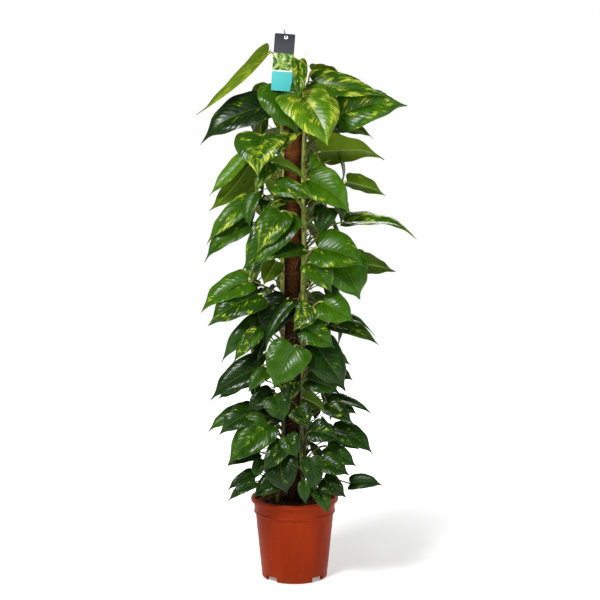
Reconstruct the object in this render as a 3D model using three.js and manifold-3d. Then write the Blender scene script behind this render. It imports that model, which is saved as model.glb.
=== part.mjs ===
// A climbing aroid with heart-shaped, yellow-marbled leaves on a coir pole, in a plastic nursery pot.
// Millimetres, +Z up. The origin is the centre of the pot's underside; the plant's front faces -Y.
import * as THREE from "three";
import { mergeVertices } from "three/addons/utils/BufferGeometryUtils.js";
import Module from "manifold-3d";

const wasm = await Module();
wasm.setup();

// Driving dimensions
const GAP = 0.3;
const POT_HEIGHT = 225;
const RIM_RADIUS = 120;
const COLLAR_RADIUS = 110.5;
const BODY_TOP_RADIUS = 107.5;
const BODY_BASE_RADIUS = 89.5;
const POT_WALL = 2.2;
const RIM_DROP = 12;
const COLLAR_DROP = 44;
const FOOT_HEIGHT = 14;
const FOOT_SPAN = 65;
const FLOOR_TOP = 17;
const SOIL_TOP = 207;
const POLE_TOP = 1388;
const POLE_RADIUS = 27.5;
const CORE_RADIUS = 13;
const STEM_RADIUS = 6;
const STEM_DEPTH = 60;
const STEM_HOLE = 7.4;
const PETIOLE_RADIUS = 2.2;
const BLADE = 1.4;
const CARD = [54, 160, 0.8];
const STICK_RADIUS = 1.5;
const STICK_HOLE = 2.4;

const rad = THREE.MathUtils.degToRad;
const vec = (x, y, z) => new THREE.Vector3(x, y, z);

// Solids: a closed geometry becomes a manifold solid, and a solid becomes a geometry again.
function solid(geometry) {
  const bare = geometry.clone();
  bare.deleteAttribute("normal");
  bare.deleteAttribute("uv");
  const merged = mergeVertices(bare, 1e-3);
  return new wasm.Manifold(
    new wasm.Mesh({
      numProp: 3,
      vertProperties: merged.attributes.position.array,
      triVerts: new Uint32Array(merged.index.array),
    }),
  );
}

function geometryOf(made) {
  const mesh = made.getMesh();
  const geometry = new THREE.BufferGeometry();
  geometry.setAttribute("position", new THREE.BufferAttribute(mesh.vertProperties, 3));
  geometry.setIndex(new THREE.BufferAttribute(mesh.triVerts, 1));
  const flat = geometry.toNonIndexed();
  flat.computeVertexNormals();
  return flat;
}

// A solid turned about Z from [radius, height] points, and a round rod along a curve.
function turned(profile, segments) {
  const points = profile.map(([r, z]) => new THREE.Vector2(r, z));
  return solid(new THREE.LatheGeometry(points, segments).rotateX(Math.PI / 2));
}

function rod(curve, radius, sides, steps) {
  const section = new THREE.Shape();
  for (let i = 0; i < sides; i++) {
    const angle = (i / sides) * 2 * Math.PI;
    const corner = [radius * Math.cos(angle), radius * Math.sin(angle)];
    if (i === 0) section.moveTo(...corner);
    else section.lineTo(...corner);
  }
  const options = { steps, extrudePath: curve, bevelEnabled: false, curveSegments: 1 };
  return solid(new THREE.ExtrudeGeometry(section, options));
}

// Pot: rolled rim, collar with a ridge, tapered body, four foot segments and a centre pad
function bodyRadius(z) {
  return BODY_BASE_RADIUS + ((BODY_TOP_RADIUS - BODY_BASE_RADIUS) * z) / (POT_HEIGHT - COLLAR_DROP);
}

function potSolid() {
  const collar = POT_HEIGHT - COLLAR_DROP;
  const rim = POT_HEIGHT - RIM_DROP;
  const sides = 36;
  const outside = [
    [0, 0],
    [BODY_BASE_RADIUS - 3, 0],
    [bodyRadius(3), 3],
    [bodyRadius(collar), collar],
    [COLLAR_RADIUS + 1.5, collar + 1],
    [COLLAR_RADIUS + 1.5, collar + 4],
    [COLLAR_RADIUS, collar + 6],
    [COLLAR_RADIUS + 1.5, rim],
    [RIM_RADIUS, rim],
    [RIM_RADIUS, POT_HEIGHT - 3],
    [RIM_RADIUS - 3, POT_HEIGHT],
    [RIM_RADIUS - 8, POT_HEIGHT],
    [RIM_RADIUS - 9.5, POT_HEIGHT - 4],
    [bodyRadius(FLOOR_TOP) - POT_WALL, FLOOR_TOP],
    [0, FLOOR_TOP],
  ];
  const recess = turned(
    [
      [18, -1],
      [BODY_BASE_RADIUS - 7, -1],
      [BODY_BASE_RADIUS - 9, FOOT_HEIGHT],
      [20, FOOT_HEIGHT],
      [18, -1],
    ],
    sides,
  );
  let pot = turned(outside, sides).subtract(recess);
  const notchWidth = 2 * BODY_BASE_RADIUS * Math.sin(rad((90 - FOOT_SPAN) / 2));
  for (let i = 0; i < 4; i++) {
    const notch = new THREE.BoxGeometry(40, notchWidth, 2 * FOOT_HEIGHT);
    notch.translate(BODY_BASE_RADIUS, 0, 0).rotateZ(rad(45 + 90 * i));
    const drain = new THREE.CylinderGeometry(7, 7, 20, 12).rotateX(Math.PI / 2);
    drain.translate(BODY_BASE_RADIUS - 22, 0, FLOOR_TOP).rotateZ(rad(45 + 90 * i));
    pot = pot.subtract(solid(notch)).subtract(solid(drain));
  }
  return pot;
}

// Climbing stems: where each one leaves the soil, how far it turns round the pole, and its top
const VINES = {
  vine_left: { azimuth: 205, turn: -12, top: 1345, colour: 0x4f7a1f },
  vine_front: { azimuth: 303, turn: 14, top: 1375, colour: 0x5f8a22 },
  vine_right: { azimuth: 30, turn: 10, top: 1330, colour: 0x4a741e },
  vine_back: { azimuth: 118, turn: -10, top: 1352, colour: 0x456f1c },
};
const CLIMB_RADIUS = POLE_RADIUS + STEM_RADIUS + 1.2;
const ROOT_RADIUS = 52;

function stemPoint(vine, z) {
  const { azimuth, turn, top } = VINES[vine];
  const climbed = THREE.MathUtils.clamp((z - SOIL_TOP) / (top - SOIL_TOP), 0, 1);
  const lean = THREE.MathUtils.smoothstep(z, SOIL_TOP, SOIL_TOP + 130);
  const radius = ROOT_RADIUS + (CLIMB_RADIUS - ROOT_RADIUS) * lean;
  const wander = 3.2 * lean * Math.sin(climbed * 21 + azimuth);
  const angle = rad(azimuth + turn * climbed + wander);
  return vec(radius * Math.cos(angle), radius * Math.sin(angle), z);
}

function stemCurve(vine) {
  const points = [];
  const bottom = SOIL_TOP - STEM_DEPTH;
  const count = 20;
  for (let i = 0; i <= count; i++) {
    points.push(stemPoint(vine, bottom + ((VINES[vine].top - bottom) * i) / count));
  }
  return new THREE.CatmullRomCurve3(points);
}

// Leaves that face the front and sides, set by hand. Each row is one leaf:
// vine, blade's base x y z, tip x y z, width, facing azimuth and elevation in degrees
// (0 is the front, 90 the right, 180 the back), arch, fold in degrees, share of yellow.
const LEFT = "vine_left";
const FRONT = "vine_front";
const RIGHT = "vine_right";
const BACK = "vine_back";
const LEAVES = [
  [LEFT, -70, -38, 1422, -265, -60, 1268, 62, 180, 62, -0.07, 40, 0.1],
  [LEFT, -70, -45, 1288, -255, -70, 1203, 126, 0, 50, 0.05, 12, 0.15],
  [FRONT, 14, -92, 1318, 88, -166, 1188, 156, 15, 25, 0.05, 14, 0.35],
  [FRONT, -42, -62, 1345, 12, -122, 1218, 120, -4, 25, 0.05, 12, 0.03],
  [FRONT, 12, -88, 1404, 12, -138, 1303, 42, 10, 15, 0.05, 14, 0.5],
  [RIGHT, 48, -14, 1380, 134, -26, 1372, 80, 180, 66, 0.06, 15, 0.1],
  [FRONT, 50, -55, 1350, 244, -75, 1323, 90, 0, 42, 0.04, 12, 0.5],
  [FRONT, 120, -50, 1263, 298, -60, 1298, 108, 0, 20, 0.06, 12, 0.35],
  [RIGHT, 120, -20, 1230, 212, -20, 1209, 60, 180, 60, 0.05, 14, 0.1],
  [RIGHT, 70, -40, 1168, 238, -45, 1172, 132, 180, 55, 0.0, 12, 0.05],
  [FRONT, 62, -60, 1150, 36, -80, 1120, 36, 0, 20, 0.05, 12, 0.1],
  [LEFT, -80, -92, 1210, -97, -165, 1118, 136, -10, 40, 0.06, 12, 0.5],
  [LEFT, -2, -78, 1220, -46, -118, 1166, 62, -35, 20, 0.06, 14, 0.6],
  [LEFT, -132, -50, 1153, -229, -66, 1054, 55, -20, 50, -0.02, 14, 0.05],
  [BACK, -121, -24, 1131, -229, -48, 1008, 60, 150, 30, 0.0, 14, 0.1],
  [LEFT, -57, -75, 1150, -109, -120, 1058, 60, -30, 20, 0.06, 16, 0.4],
  [LEFT, -54, -110, 1141, 40, -140, 1092, 45, 180, 50, 0.06, 14, 0.1],
  [FRONT, -48, -110, 1080, 48, -150, 1049, 60, 0, 35, 0.06, 14, 0.4],
  [FRONT, 41, -90, 1094, 150, -128, 1013, 100, 10, 20, 0.06, 14, 0.1],
  [RIGHT, 142, -30, 1088, 245, -40, 1058, 78, 180, 55, -0.02, 14, 0.1],
  [LEFT, -121, -50, 1039, -243, -75, 935, 62, -10, 40, 0.05, 16, 0.35],
  [LEFT, -119, -50, 978, -245, -75, 882, 75, 0, 50, 0.09, 14, 0.2],
  [LEFT, -102, -70, 1059, -125, -100, 968, 55, -40, 20, 0.06, 14, 0.1],
  [LEFT, -70, -60, 1037, -75, -90, 985, 45, 0, 20, 0.06, 14, 0.1],
  [FRONT, -7, -80, 1045, -70, -110, 1013, 40, -10, 40, 0.06, 20, 0.6],
  [FRONT, -35, -110, 1010, -99, -150, 911, 85, -15, 15, 0.05, 14, 0.45],
  [FRONT, -17, -90, 1002, -140, -135, 860, 110, -15, 20, 0.05, 14, 0.15],
  [FRONT, 22, -110, 911, -111, -150, 877, 55, -10, 50, 0.06, 14, 0.2],
  [LEFT, -49, -95, 878, -80, -120, 817, 55, 160, 10, 0.05, 14, 0.1],
  [LEFT, -124, -60, 822, -255, -80, 756, 92, 0, 50, 0.03, 14, 0.15],
  [LEFT, -97, -80, 790, -231, -110, 716, 104, 0, 40, 0.06, 14, 0.35],
  [BACK, -97, -15, 808, -170, -10, 798, 60, 0, 75, 0.06, 14, 0.0],
  [LEFT, -20, -75, 776, -86, -95, 663, 95, -15, 20, 0.06, 14, 0.0],
  [LEFT, -78, -60, 725, -204, -90, 616, 62, 0, 40, 0.16, 14, 0.0],
  [LEFT, -98, -100, 693, -163, -130, 617, 45, 0, 30, 0.06, 14, 0.3],
  [LEFT, -9, -120, 769, -80, -155, 647, 50, -50, 20, 0.06, 16, 0.15],
  [FRONT, 41, -135, 763, -4, -160, 703, 60, 0, 15, 0.06, 14, 0.5],
  [FRONT, -1, -158, 660, -54, -190, 554, 110, -5, 10, 0.04, 10, 0.03],
  [FRONT, -7, -130, 568, -22, -150, 507, 55, 0, 5, 0.05, 12, 0.4],
  [FRONT, -52, -130, 525, -28, -155, 458, 72, -10, 15, 0.06, 12, 0.1],
  [LEFT, -87, -95, 600, -229, -125, 522, 90, 0, 40, -0.02, 14, 0.05],
  [LEFT, -150, -70, 550, -205, -85, 512, 40, 0, 40, 0.06, 14, 0.0],
  [LEFT, -75, -125, 589, -124, -145, 541, 45, -20, 20, 0.06, 14, 0.1],
  [LEFT, -60, -100, 528, -127, -120, 483, 60, 0, 30, 0.06, 14, 0.0],
  [LEFT, -108, -90, 478, -206, -120, 426, 75, 0, 45, 0.12, 14, 0.05],
  [BACK, -130, -60, 478, -240, -80, 424, 62, -20, 60, 0.0, 14, 0.0],
  [LEFT, -44, -88, 477, -118, -100, 433, 60, 0, 30, 0.06, 14, 0.05],
  [LEFT, -72, -130, 450, -182, -160, 352, 104, -15, 35, 0.03, 14, 0.25],
  [LEFT, -100, -110, 370, -178, -130, 339, 50, 0, 50, 0.0, 14, 0.0],
  [LEFT, -30, -150, 400, -83, -180, 335, 60, -20, 15, 0.08, 16, 0.2],
  [FRONT, -17, -155, 423, 9, -180, 369, 52, 0, 8, 0.06, 12, 0.1],
  [FRONT, -38, -155, 361, -22, -185, 274, 88, -10, 12, 0.06, 10, 0.05],
  [FRONT, 41, -170, 367, 54, -190, 281, 58, 5, 12, 0.06, 12, 0.05],
  [FRONT, 28, -165, 302, 30, -175, 245, 35, 0, 12, 0.06, 12, 0.0],
  [FRONT, 62, -150, 279, 91, -168, 215, 45, 10, 15, 0.08, 14, 0.2],
  [FRONT, 62, -115, 917, 190, -140, 880, 122, 5, 40, 0.06, 14, 0.25],
  [FRONT, 88, -70, 1019, 68, -90, 949, 62, -10, 5, 0.04, 10, 0.05],
  [RIGHT, 138, -30, 980, 328, -50, 968, 80, 0, 66, 0.02, 14, 0.5],
  [FRONT, 126, -80, 887, 178, -110, 784, 128, 20, 15, 0.04, 10, 0.05],
  [RIGHT, 163, -40, 873, 272, -45, 852, 92, 180, 50, 0.02, 14, 0.0],
  [FRONT, 43, -130, 878, 99, -155, 804, 75, 10, 15, 0.06, 14, 0.4],
  [FRONT, 76, -120, 774, 160, -145, 728, 92, 5, 35, 0.06, 14, 0.1],
  [FRONT, 67, -90, 738, 219, -110, 700, 45, 0, 65, 0.05, 14, 0.0],
  [FRONT, 30, -135, 709, 108, -155, 659, 75, 5, 25, 0.06, 14, 0.15],
  [FRONT, 55, -118, 662, 140, -150, 545, 105, 10, 20, 0.05, 12, 0.05],
  [FRONT, 95, -75, 710, 226, -105, 664, 56, 5, 45, 0.05, 14, 0.35],
  [RIGHT, 80, -100, 640, 152, -115, 612, 45, 0, 40, 0.06, 14, 0.0],
  [RIGHT, 95, -110, 590, 158, -125, 567, 40, 0, 40, 0.06, 14, 0.0],
  [FRONT, 36, -120, 567, 123, -140, 538, 60, 5, 30, 0.06, 14, 0.05],
  [FRONT, 86, -125, 506, 157, -155, 460, 60, 10, 35, 0.08, 14, 0.2],
  [RIGHT, 103, -85, 512, 209, -105, 475, 40, 10, 60, 0.03, 14, 0.0],
  [RIGHT, 120, -70, 490, 168, -90, 473, 35, 0, 50, 0.06, 14, 0.0],
  [FRONT, 25, -135, 521, 88, -150, 484, 55, 180, 40, 0.06, 14, 0.05],
  [FRONT, 105, -105, 429, 214, -135, 375, 72, 10, 45, 0.08, 14, 0.15],
  [RIGHT, 120, -80, 400, 178, -95, 375, 35, 10, 50, 0.06, 14, 0.0],
  [FRONT, 46, -150, 435, 120, -165, 415, 62, 0, 30, 0.06, 14, 0.15],
  [FRONT, 75, -165, 358, 145, -190, 329, 62, 10, 35, 0.06, 12, 0.15],
  [FRONT, 78, -150, 306, 138, -175, 267, 58, 10, 30, 0.06, 14, 0.25],
  [RIGHT, 150, -130, 290, 234, -150, 292, 48, 0, 40, 0.06, 14, 0.05],
  [FRONT, 88, -130, 388, 168, -155, 348, 60, 10, 35, 0.0, 14, 0.05],
  [LEFT, -113, -130, 318, -179, -155, 280, 35, -10, 40, 0.06, 14, 0.0],
  [LEFT, -104, -162, 300, -178, -184, 262, 36, -10, 45, 0.06, 14, 0.1],
  [LEFT, -84, -128, 352, -108, -142, 302, 38, -10, 20, 0.06, 14, 0.0],
  [FRONT, 7, -140, 495, 38, -165, 446, 60, 0, 10, 0.05, 12, 0.2],
  [LEFT, -38, -128, 303, -112, -150, 258, 62, -10, 35, 0.06, 12, 0.05],
  [RIGHT, 96, -48, 1075, 128, -84, 975, 78, 55, 25, 0.08, 14, 0.3],
  [RIGHT, 92, -36, 952, 124, -60, 868, 70, 65, 25, 0.08, 14, 0.1],
  [RIGHT, 86, -46, 832, 116, -84, 750, 68, 60, 25, 0.08, 14, 0.4],
  [RIGHT, 90, -30, 728, 128, -58, 655, 62, 70, 25, 0.08, 14, 0.0],
  [RIGHT, 86, -48, 612, 118, -84, 538, 62, 60, 25, 0.08, 14, 0.2],
  [RIGHT, 80, -58, 522, 104, -96, 455, 58, 50, 25, 0.08, 14, 0.5],
  [RIGHT, 88, -42, 430, 118, -72, 366, 54, 65, 25, 0.08, 14, 0.1],
  [RIGHT, 80, -60, 345, 108, -92, 288, 50, 50, 25, 0.08, 14, 0.3],
  [LEFT, -88, -34, 1045, -122, -58, 955, 76, -65, 25, 0.08, 14, 0.1],
  [LEFT, -90, -56, 905, -118, -94, 820, 72, -50, 25, 0.08, 14, 0.4],
  [LEFT, -84, -36, 800, -116, -66, 722, 66, -65, 25, 0.08, 14, 0.1],
  [LEFT, -80, -50, 668, -108, -88, 596, 62, -50, 25, 0.08, 14, 0.3],
  [LEFT, -84, -46, 570, -114, -82, 500, 60, -60, 25, 0.08, 14, 0.0],
  [LEFT, -78, -60, 480, -104, -98, 412, 58, -50, 25, 0.08, 14, 0.2],
  [LEFT, -80, -48, 395, -110, -82, 332, 52, -60, 25, 0.08, 14, 0.5],
];

// Leaves on the back and far sides follow a rule: they climb in golden-angle steps, each blade
// hangs out and down, and they grow larger towards the top. They are drawn in sideways, so they
// stay behind the leaves of the front. A trait is its middle value, how far single leaves stray
// from it, and the step that strays it from leaf to leaf.
const GOLDEN = (Math.sqrt(5) - 1) / 2;
const BACK_COUNT = 46;
const BACK_HEIGHTS = [320, 1346];
const BACK_AZIMUTHS = [-2, 182];
const BACK_START = 0.94;
const BACK_SPLIT = 92;
const BACK_LENGTH = 145;
const BACK_GROWTH = 0.52;
const BACK_SPREAD = 42;
const BACK_ARCH = 0.07;
const BACK_FOLD = 14;
const BACK_NARROW = vec(0.68, 1, 1);
const BACK_TRAITS = {
  size: [0.66, 0.16, 0.731],
  droop: [48, 20, 0.377],
  reach: [68, 24, 0.529],
  heading: [0, 24, 0.853],
  breadth: [0.68, 0.08, 0.291],
  facing: [90, 20, 0.619],
  raised: [38, 14, 0.443],
  gold: [0.28, 0.5, 0.467],
};

function trait(name, index) {
  const [middle, stray, step] = BACK_TRAITS[name];
  return middle + stray * (2 * ((index * step) % 1) - 1);
}

function backLeaf(index) {
  const climbed = index / (BACK_COUNT - 1);
  const height = THREE.MathUtils.lerp(...BACK_HEIGHTS, climbed);
  const azimuth = THREE.MathUtils.lerp(...BACK_AZIMUTHS, (index * GOLDEN + BACK_START) % 1);
  const size = trait("size", index) + BACK_GROWTH * climbed ** 1.2;
  const length = BACK_LENGTH * size;
  const reach = trait("reach", index) + BACK_SPREAD * size;
  const heading = rad(azimuth + trait("heading", index));
  const droop = rad(trait("droop", index));
  const base = vec(reach * Math.cos(rad(azimuth)), reach * Math.sin(rad(azimuth)), height);
  const fall = vec(Math.cos(heading), Math.sin(heading), -Math.tan(droop)).setLength(length);
  const tip = base.clone().add(fall).multiply(BACK_NARROW);
  base.multiply(BACK_NARROW);
  const width = length * trait("breadth", index);
  const facing = azimuth + trait("facing", index);
  const gold = Math.max(0, trait("gold", index));
  const vine = azimuth < BACK_SPLIT ? RIGHT : BACK;
  const face = [facing, trait("raised", index), BACK_ARCH, BACK_FOLD, gold];
  return [vine, ...base.toArray(), ...tip.toArray(), width, ...face];
}

function allLeaves() {
  const rows = [...LEAVES];
  for (let i = 0; i < BACK_COUNT; i++) rows.push(backLeaf(i));
  return rows;
}

// Blade: a heart-shaped outline drawn by an angle that runs from the sinus at the petiole to the
// drip tip, ruled to the midrib, folded into a shallow V, arched, and waved along the margin.
const LOBE = 0.3;
const TAPER = 0.85;
const MIDRIB_LAG = 1.25;
const WAVE = 0.035;
const SWAY = 0.05;
const STATIONS = [0.55, 1.0, 1.5, 2.05, 2.6];
const FEWER_STATIONS = [0.6, 1.12, 1.7, 2.3];
const WIDE_BLADE = 100;
const WIDEST = Math.max(...STATIONS.map((a) => Math.sin(a) * Math.cos(a / 2) ** TAPER));

function leafFrame(row) {
  const [vine, bx, by, bz, tx, ty, tz, width, faceAzimuth, faceElevation, arch, fold] = row;
  const base = vec(bx, by, bz);
  const along = vec(tx, ty, tz).sub(base);
  const length = along.length();
  along.normalize();
  const azimuth = rad(faceAzimuth);
  const elevation = rad(faceElevation);
  const normal = vec(
    Math.sin(azimuth) * Math.cos(elevation),
    -Math.cos(azimuth) * Math.cos(elevation),
    Math.sin(elevation),
  );
  normal.addScaledVector(along, -normal.dot(along)).normalize();
  const across = along.clone().cross(normal);
  return { vine, base, along, normal, across, length, width, arch, fold: rad(fold) };
}

function bladePoint(frame, index, angle, side) {
  const share = Math.abs(side);
  const rise = (1 - Math.cos(angle)) / 2;
  const edge = rise - (LOBE * Math.sin(angle) * (1 + Math.cos(angle))) / 2;
  const middle = rise ** MIDRIB_LAG;
  const forward = middle + (edge - middle) * share;
  const breadth = Math.sin(angle) * Math.cos(angle / 2) ** TAPER;
  const spread = (side * frame.width * breadth) / (2 * WIDEST);
  const bow = 4 * forward * (1 - forward) * frame.length;
  const sway = SWAY * Math.sin(index * 2.4) * bow;
  const wave = WAVE * frame.width * share ** 2 * Math.sin(angle) * Math.sin(3.1 * angle + index + 2 * side);
  const lift = frame.arch * bow + Math.abs(spread) * Math.sin(frame.fold) + wave;
  return frame.base
    .clone()
    .addScaledVector(frame.along, forward * frame.length)
    .addScaledVector(frame.across, spread * Math.cos(frame.fold) + sway)
    .addScaledVector(frame.normal, lift);
}

// Petiole: leaves the stem below the blade, rises away from the pole and runs into the midrib.
const PETIOLE_AIM = 1.0;
const PETIOLE_DROP = 20;
const PETIOLE_SLOPE = 0.35;
const PETIOLE_OUT = 0.25;
const PETIOLE_RISE = 0.35;
const LOWEST_NODE = SOIL_TOP + 25;
const TOP_BUD = 12;
const PETIOLE_STEP = 80;

function petioleCurve(frame, index) {
  const { base, vine } = frame;
  const wanted = base.z - PETIOLE_DROP - PETIOLE_SLOPE * Math.hypot(base.x, base.y);
  const start = stemPoint(vine, THREE.MathUtils.clamp(wanted, LOWEST_NODE, VINES[vine].top - TOP_BUD));
  const span = start.distanceTo(base);
  const out = vec(base.x, base.y, 0).normalize();
  const lift = vec(0, 0, PETIOLE_RISE * span);
  const rise = start.clone().addScaledVector(out, PETIOLE_OUT * span).add(lift);
  const midrib = bladePoint(frame, index, PETIOLE_AIM, 0).sub(base);
  return new THREE.CubicBezierCurve3(start, rise, base.clone().sub(midrib), base);
}

// Three corners round each point of the petiole, carried back from the blade without twisting:
// the first lies on the blade's upper side.
function petioleRings(frame, index) {
  const curve = petioleCurve(frame, index);
  const steps = THREE.MathUtils.clamp(Math.round(curve.getLength() / PETIOLE_STEP), 2, 4);
  const rings = [];
  let upper = frame.normal.clone();
  let heading = curve.getTangent(1);
  for (let i = steps; i >= 0; i--) {
    const tangent = curve.getTangent(i / steps);
    upper.applyQuaternion(new THREE.Quaternion().setFromUnitVectors(heading, tangent));
    heading = tangent;
    const beside = tangent.clone().cross(upper).normalize();
    const centre = curve.getPoint(i / steps);
    const corner = (up, side) => {
      const offset = upper.clone().multiplyScalar(up).addScaledVector(beside, side);
      return centre.clone().addScaledVector(offset, PETIOLE_RADIUS);
    };
    rings.push([corner(1, 0), corner(-0.5, -0.87), corner(-0.5, 0.87)]);
  }
  return rings;
}

// The vertices of one blade: its base, rows of left margin, midrib and right margin, and its tip
function bladeRows(frame, index) {
  const stations = frame.width > WIDE_BLADE ? STATIONS : FEWER_STATIONS;
  const rows = stations.map((angle) => [-1, 0, 1].map((side) => bladePoint(frame, index, angle, side)));
  return { rows, tip: bladePoint(frame, index, Math.PI, 0) };
}

// One leaf as a closed mesh. Both faces of the blade have the same triangles, a thickness apart,
// and the petiole's last three corners are the blade's base.
function leafSolid(row, index) {
  const frame = leafFrame(row);
  const { rows, tip } = bladeRows(frame, index);
  const sheet = [frame.base, ...rows.flat(), tip];
  const last = sheet.length - 1;
  const faces = [[0, 2, 1], [0, 3, 2], [last, last - 3, last - 2], [last, last - 2, last - 1]];
  for (let i = 1; i < last - 3; i += 3) {
    faces.push([i, i + 1, i + 3], [i + 1, i + 4, i + 3]);
    faces.push([i + 1, i + 5, i + 4], [i + 1, i + 2, i + 5]);
  }
  const normals = sheet.map(() => vec(0, 0, 0));
  for (const corners of faces) {
    const [a, b, c] = corners.map((i) => sheet[i]);
    const facing = b.clone().sub(a).cross(c.clone().sub(a));
    corners.forEach((i) => normals[i].add(facing));
  }
  const points = [];
  const corner = (point) => points.push(point) - 1;
  const rings = petioleRings(frame, index).map((ring) => ring.map(corner));
  const [upperBase, leftBase, rightBase] = rings[0];
  const offset = (i, side) => sheet[i].clone().addScaledVector(normals[i].normalize(), (side * BLADE) / 2);
  const upper = sheet.map((_, i) => (i ? corner(offset(i, 1)) : upperBase));
  const lower = sheet.map((_, i) => (i ? corner(offset(i, -1)) : leftBase));
  const index3 = [leftBase, lower[2], rightBase];
  for (const [a, b, c] of faces) {
    index3.push(upper[a], upper[b], upper[c]);
    const second = a === 0 && b === 3;
    index3.push(second ? rightBase : lower[a], lower[c], lower[b]);
  }
  const rim = (a, b, lowerA, lowerB) => index3.push(upper[a], upper[b], lowerB, upper[a], lowerB, lowerA);
  rim(0, 1, leftBase, lower[1]);
  for (let i = 1; i < last - 3; i += 3) rim(i, i + 3, lower[i], lower[i + 3]);
  rim(last - 3, last, lower[last - 3], lower[last]);
  rim(last, last - 1, lower[last], lower[last - 1]);
  for (let i = last - 1; i > 3; i -= 3) rim(i, i - 3, lower[i], lower[i - 3]);
  rim(3, 0, lower[3], rightBase);
  for (let k = 0; k < rings.length - 1; k++) {
    for (let i = 0; i < 3; i++) {
      const j = (i + 1) % 3;
      const [near, far] = [rings[k], rings[k + 1]];
      index3.push(near[i], near[j], far[j], near[i], far[j], far[i]);
    }
  }
  index3.push(...rings[rings.length - 1]);
  const geometry = new THREE.BufferGeometry().setFromPoints(points);
  geometry.setIndex(index3);
  return solid(geometry);
}

function vineSolid(vine) {
  let made = rod(stemCurve(vine), STEM_RADIUS, 6, 18);
  allLeaves().forEach((row, index) => {
    if (row[0] === vine) made = made.add(leafSolid(row, index));
  });
  return made;
}

// Soil: fills the pot, low mounds on top, plain holes for the pole and the stems
const SOIL_SIDES = 18;
const SOIL_RINGS = [[0.93, 1], [0.7, 4], [0.35, 2]];
const STEM_HOLE_HEIGHT = 100;
const POLE_HOLE_HEIGHT = 400;

function mound(x, y) {
  const radius = Math.hypot(x, y);
  const turn = Math.atan2(y, x);
  return 2.5 * Math.sin(5 * turn + radius / 9) + 1.5 * Math.cos(3 * turn - radius / 7);
}

function soilSolid() {
  const edge = bodyRadius(SOIL_TOP) - POT_WALL - 2;
  const foot = bodyRadius(FLOOR_TOP) - POT_WALL - GAP - 1;
  const profile = [
    [0, FLOOR_TOP + GAP],
    [foot, FLOOR_TOP + GAP],
    [edge, SOIL_TOP - 4],
    ...SOIL_RINGS.map(([share, rise]) => [edge * share, SOIL_TOP + rise]),
    [0, SOIL_TOP + 2],
  ];
  const points = profile.map(([r, z]) => new THREE.Vector2(r, z));
  const geometry = new THREE.LatheGeometry(points, SOIL_SIDES).rotateX(Math.PI / 2);
  const spots = geometry.attributes.position;
  for (let i = 0; i < spots.count; i++) {
    const [x, y, z] = [spots.getX(i), spots.getY(i), spots.getZ(i)];
    if (z > SOIL_TOP - 1 && Math.hypot(x, y) > 1) spots.setZ(i, z + mound(x, y));
  }
  const poleHole = new THREE.CylinderGeometry(POLE_RADIUS + GAP, POLE_RADIUS + GAP, POLE_HOLE_HEIGHT, 24);
  poleHole.rotateX(Math.PI / 2).translate(0, 0, FLOOR_TOP + POLE_HOLE_HEIGHT / 2 - 5);
  let made = solid(geometry).subtract(solid(poleHole));
  for (const vine of Object.keys(VINES)) {
    const foot = stemPoint(vine, SOIL_TOP - STEM_DEPTH - GAP);
    const hole = new THREE.CylinderGeometry(STEM_HOLE, STEM_HOLE, STEM_HOLE_HEIGHT, 10);
    hole.rotateX(Math.PI / 2).translate(foot.x, foot.y, foot.z + STEM_HOLE_HEIGHT / 2);
    made = made.subtract(solid(hole));
  }
  return made;
}

// Pole: a wooden stake in a sleeve of coir, with a hole in the stake's top for the label's stick
const CORE_TOP = POLE_TOP - 4;
const CORE_FOOT = FLOOR_TOP + GAP;
const STICK_HOLE_HEIGHT = 120;

function coreSolid() {
  const stake = new THREE.CylinderGeometry(CORE_RADIUS, CORE_RADIUS, CORE_TOP - CORE_FOOT, 16);
  stake.rotateX(Math.PI / 2).translate(0, 0, (CORE_TOP + CORE_FOOT) / 2);
  const hole = new THREE.CylinderGeometry(STICK_HOLE, STICK_HOLE, STICK_HOLE_HEIGHT, 10);
  hole.rotateX(Math.PI / 2).translate(STICK_FOOT.x, STICK_FOOT.y, STICK_FOOT.z - GAP + STICK_HOLE_HEIGHT / 2);
  return solid(stake).subtract(solid(hole));
}

function coirSolid() {
  const inner = CORE_RADIUS + GAP;
  return turned(
    [
      [inner, FLOOR_TOP + GAP],
      [POLE_RADIUS, FLOOR_TOP + GAP],
      [POLE_RADIUS, POLE_TOP - 6],
      [POLE_RADIUS - 5, POLE_TOP],
      [inner, POLE_TOP],
      [inner, FLOOR_TOP + GAP],
    ],
    28,
  );
}

// Care label: a card hung by its hole on a bent stick that stands in the top of the stake
const STICK_FOOT = vec(0, 0, POLE_TOP - 55);
const STICK_POINTS = [
  STICK_FOOT,
  vec(0, 0, POLE_TOP - 28),
  vec(0, 0, POLE_TOP - 2),
  vec(-3, -6, POLE_TOP + 22),
  vec(-11, -21, POLE_TOP + 46),
  vec(-20, -37, POLE_TOP + 73),
  vec(-27, -50, POLE_TOP + 98),
];
const CARD_HOLE_AT = 0.87;
const CARD_HOLE_RADIUS = 3.4;
const CARD_LEAN = -19;
const CARD_TURN = 4;

function stickCurve() {
  return new THREE.CatmullRomCurve3(STICK_POINTS);
}

function hangCard(geometry) {
  const hole = stickCurve().getPointAt(CARD_HOLE_AT);
  return geometry.rotateX(rad(CARD_LEAN)).rotateY(rad(CARD_TURN)).translate(hole.x, hole.y, hole.z);
}

function cardSolid() {
  const [width, height, thick] = CARD;
  const card = new THREE.BoxGeometry(width, thick, height).translate(-3, 0, 10 - height / 2);
  const hole = new THREE.CylinderGeometry(CARD_HOLE_RADIUS, CARD_HOLE_RADIUS, 20, 16);
  return solid(hangCard(card)).subtract(solid(hangCard(hole)));
}

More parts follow.
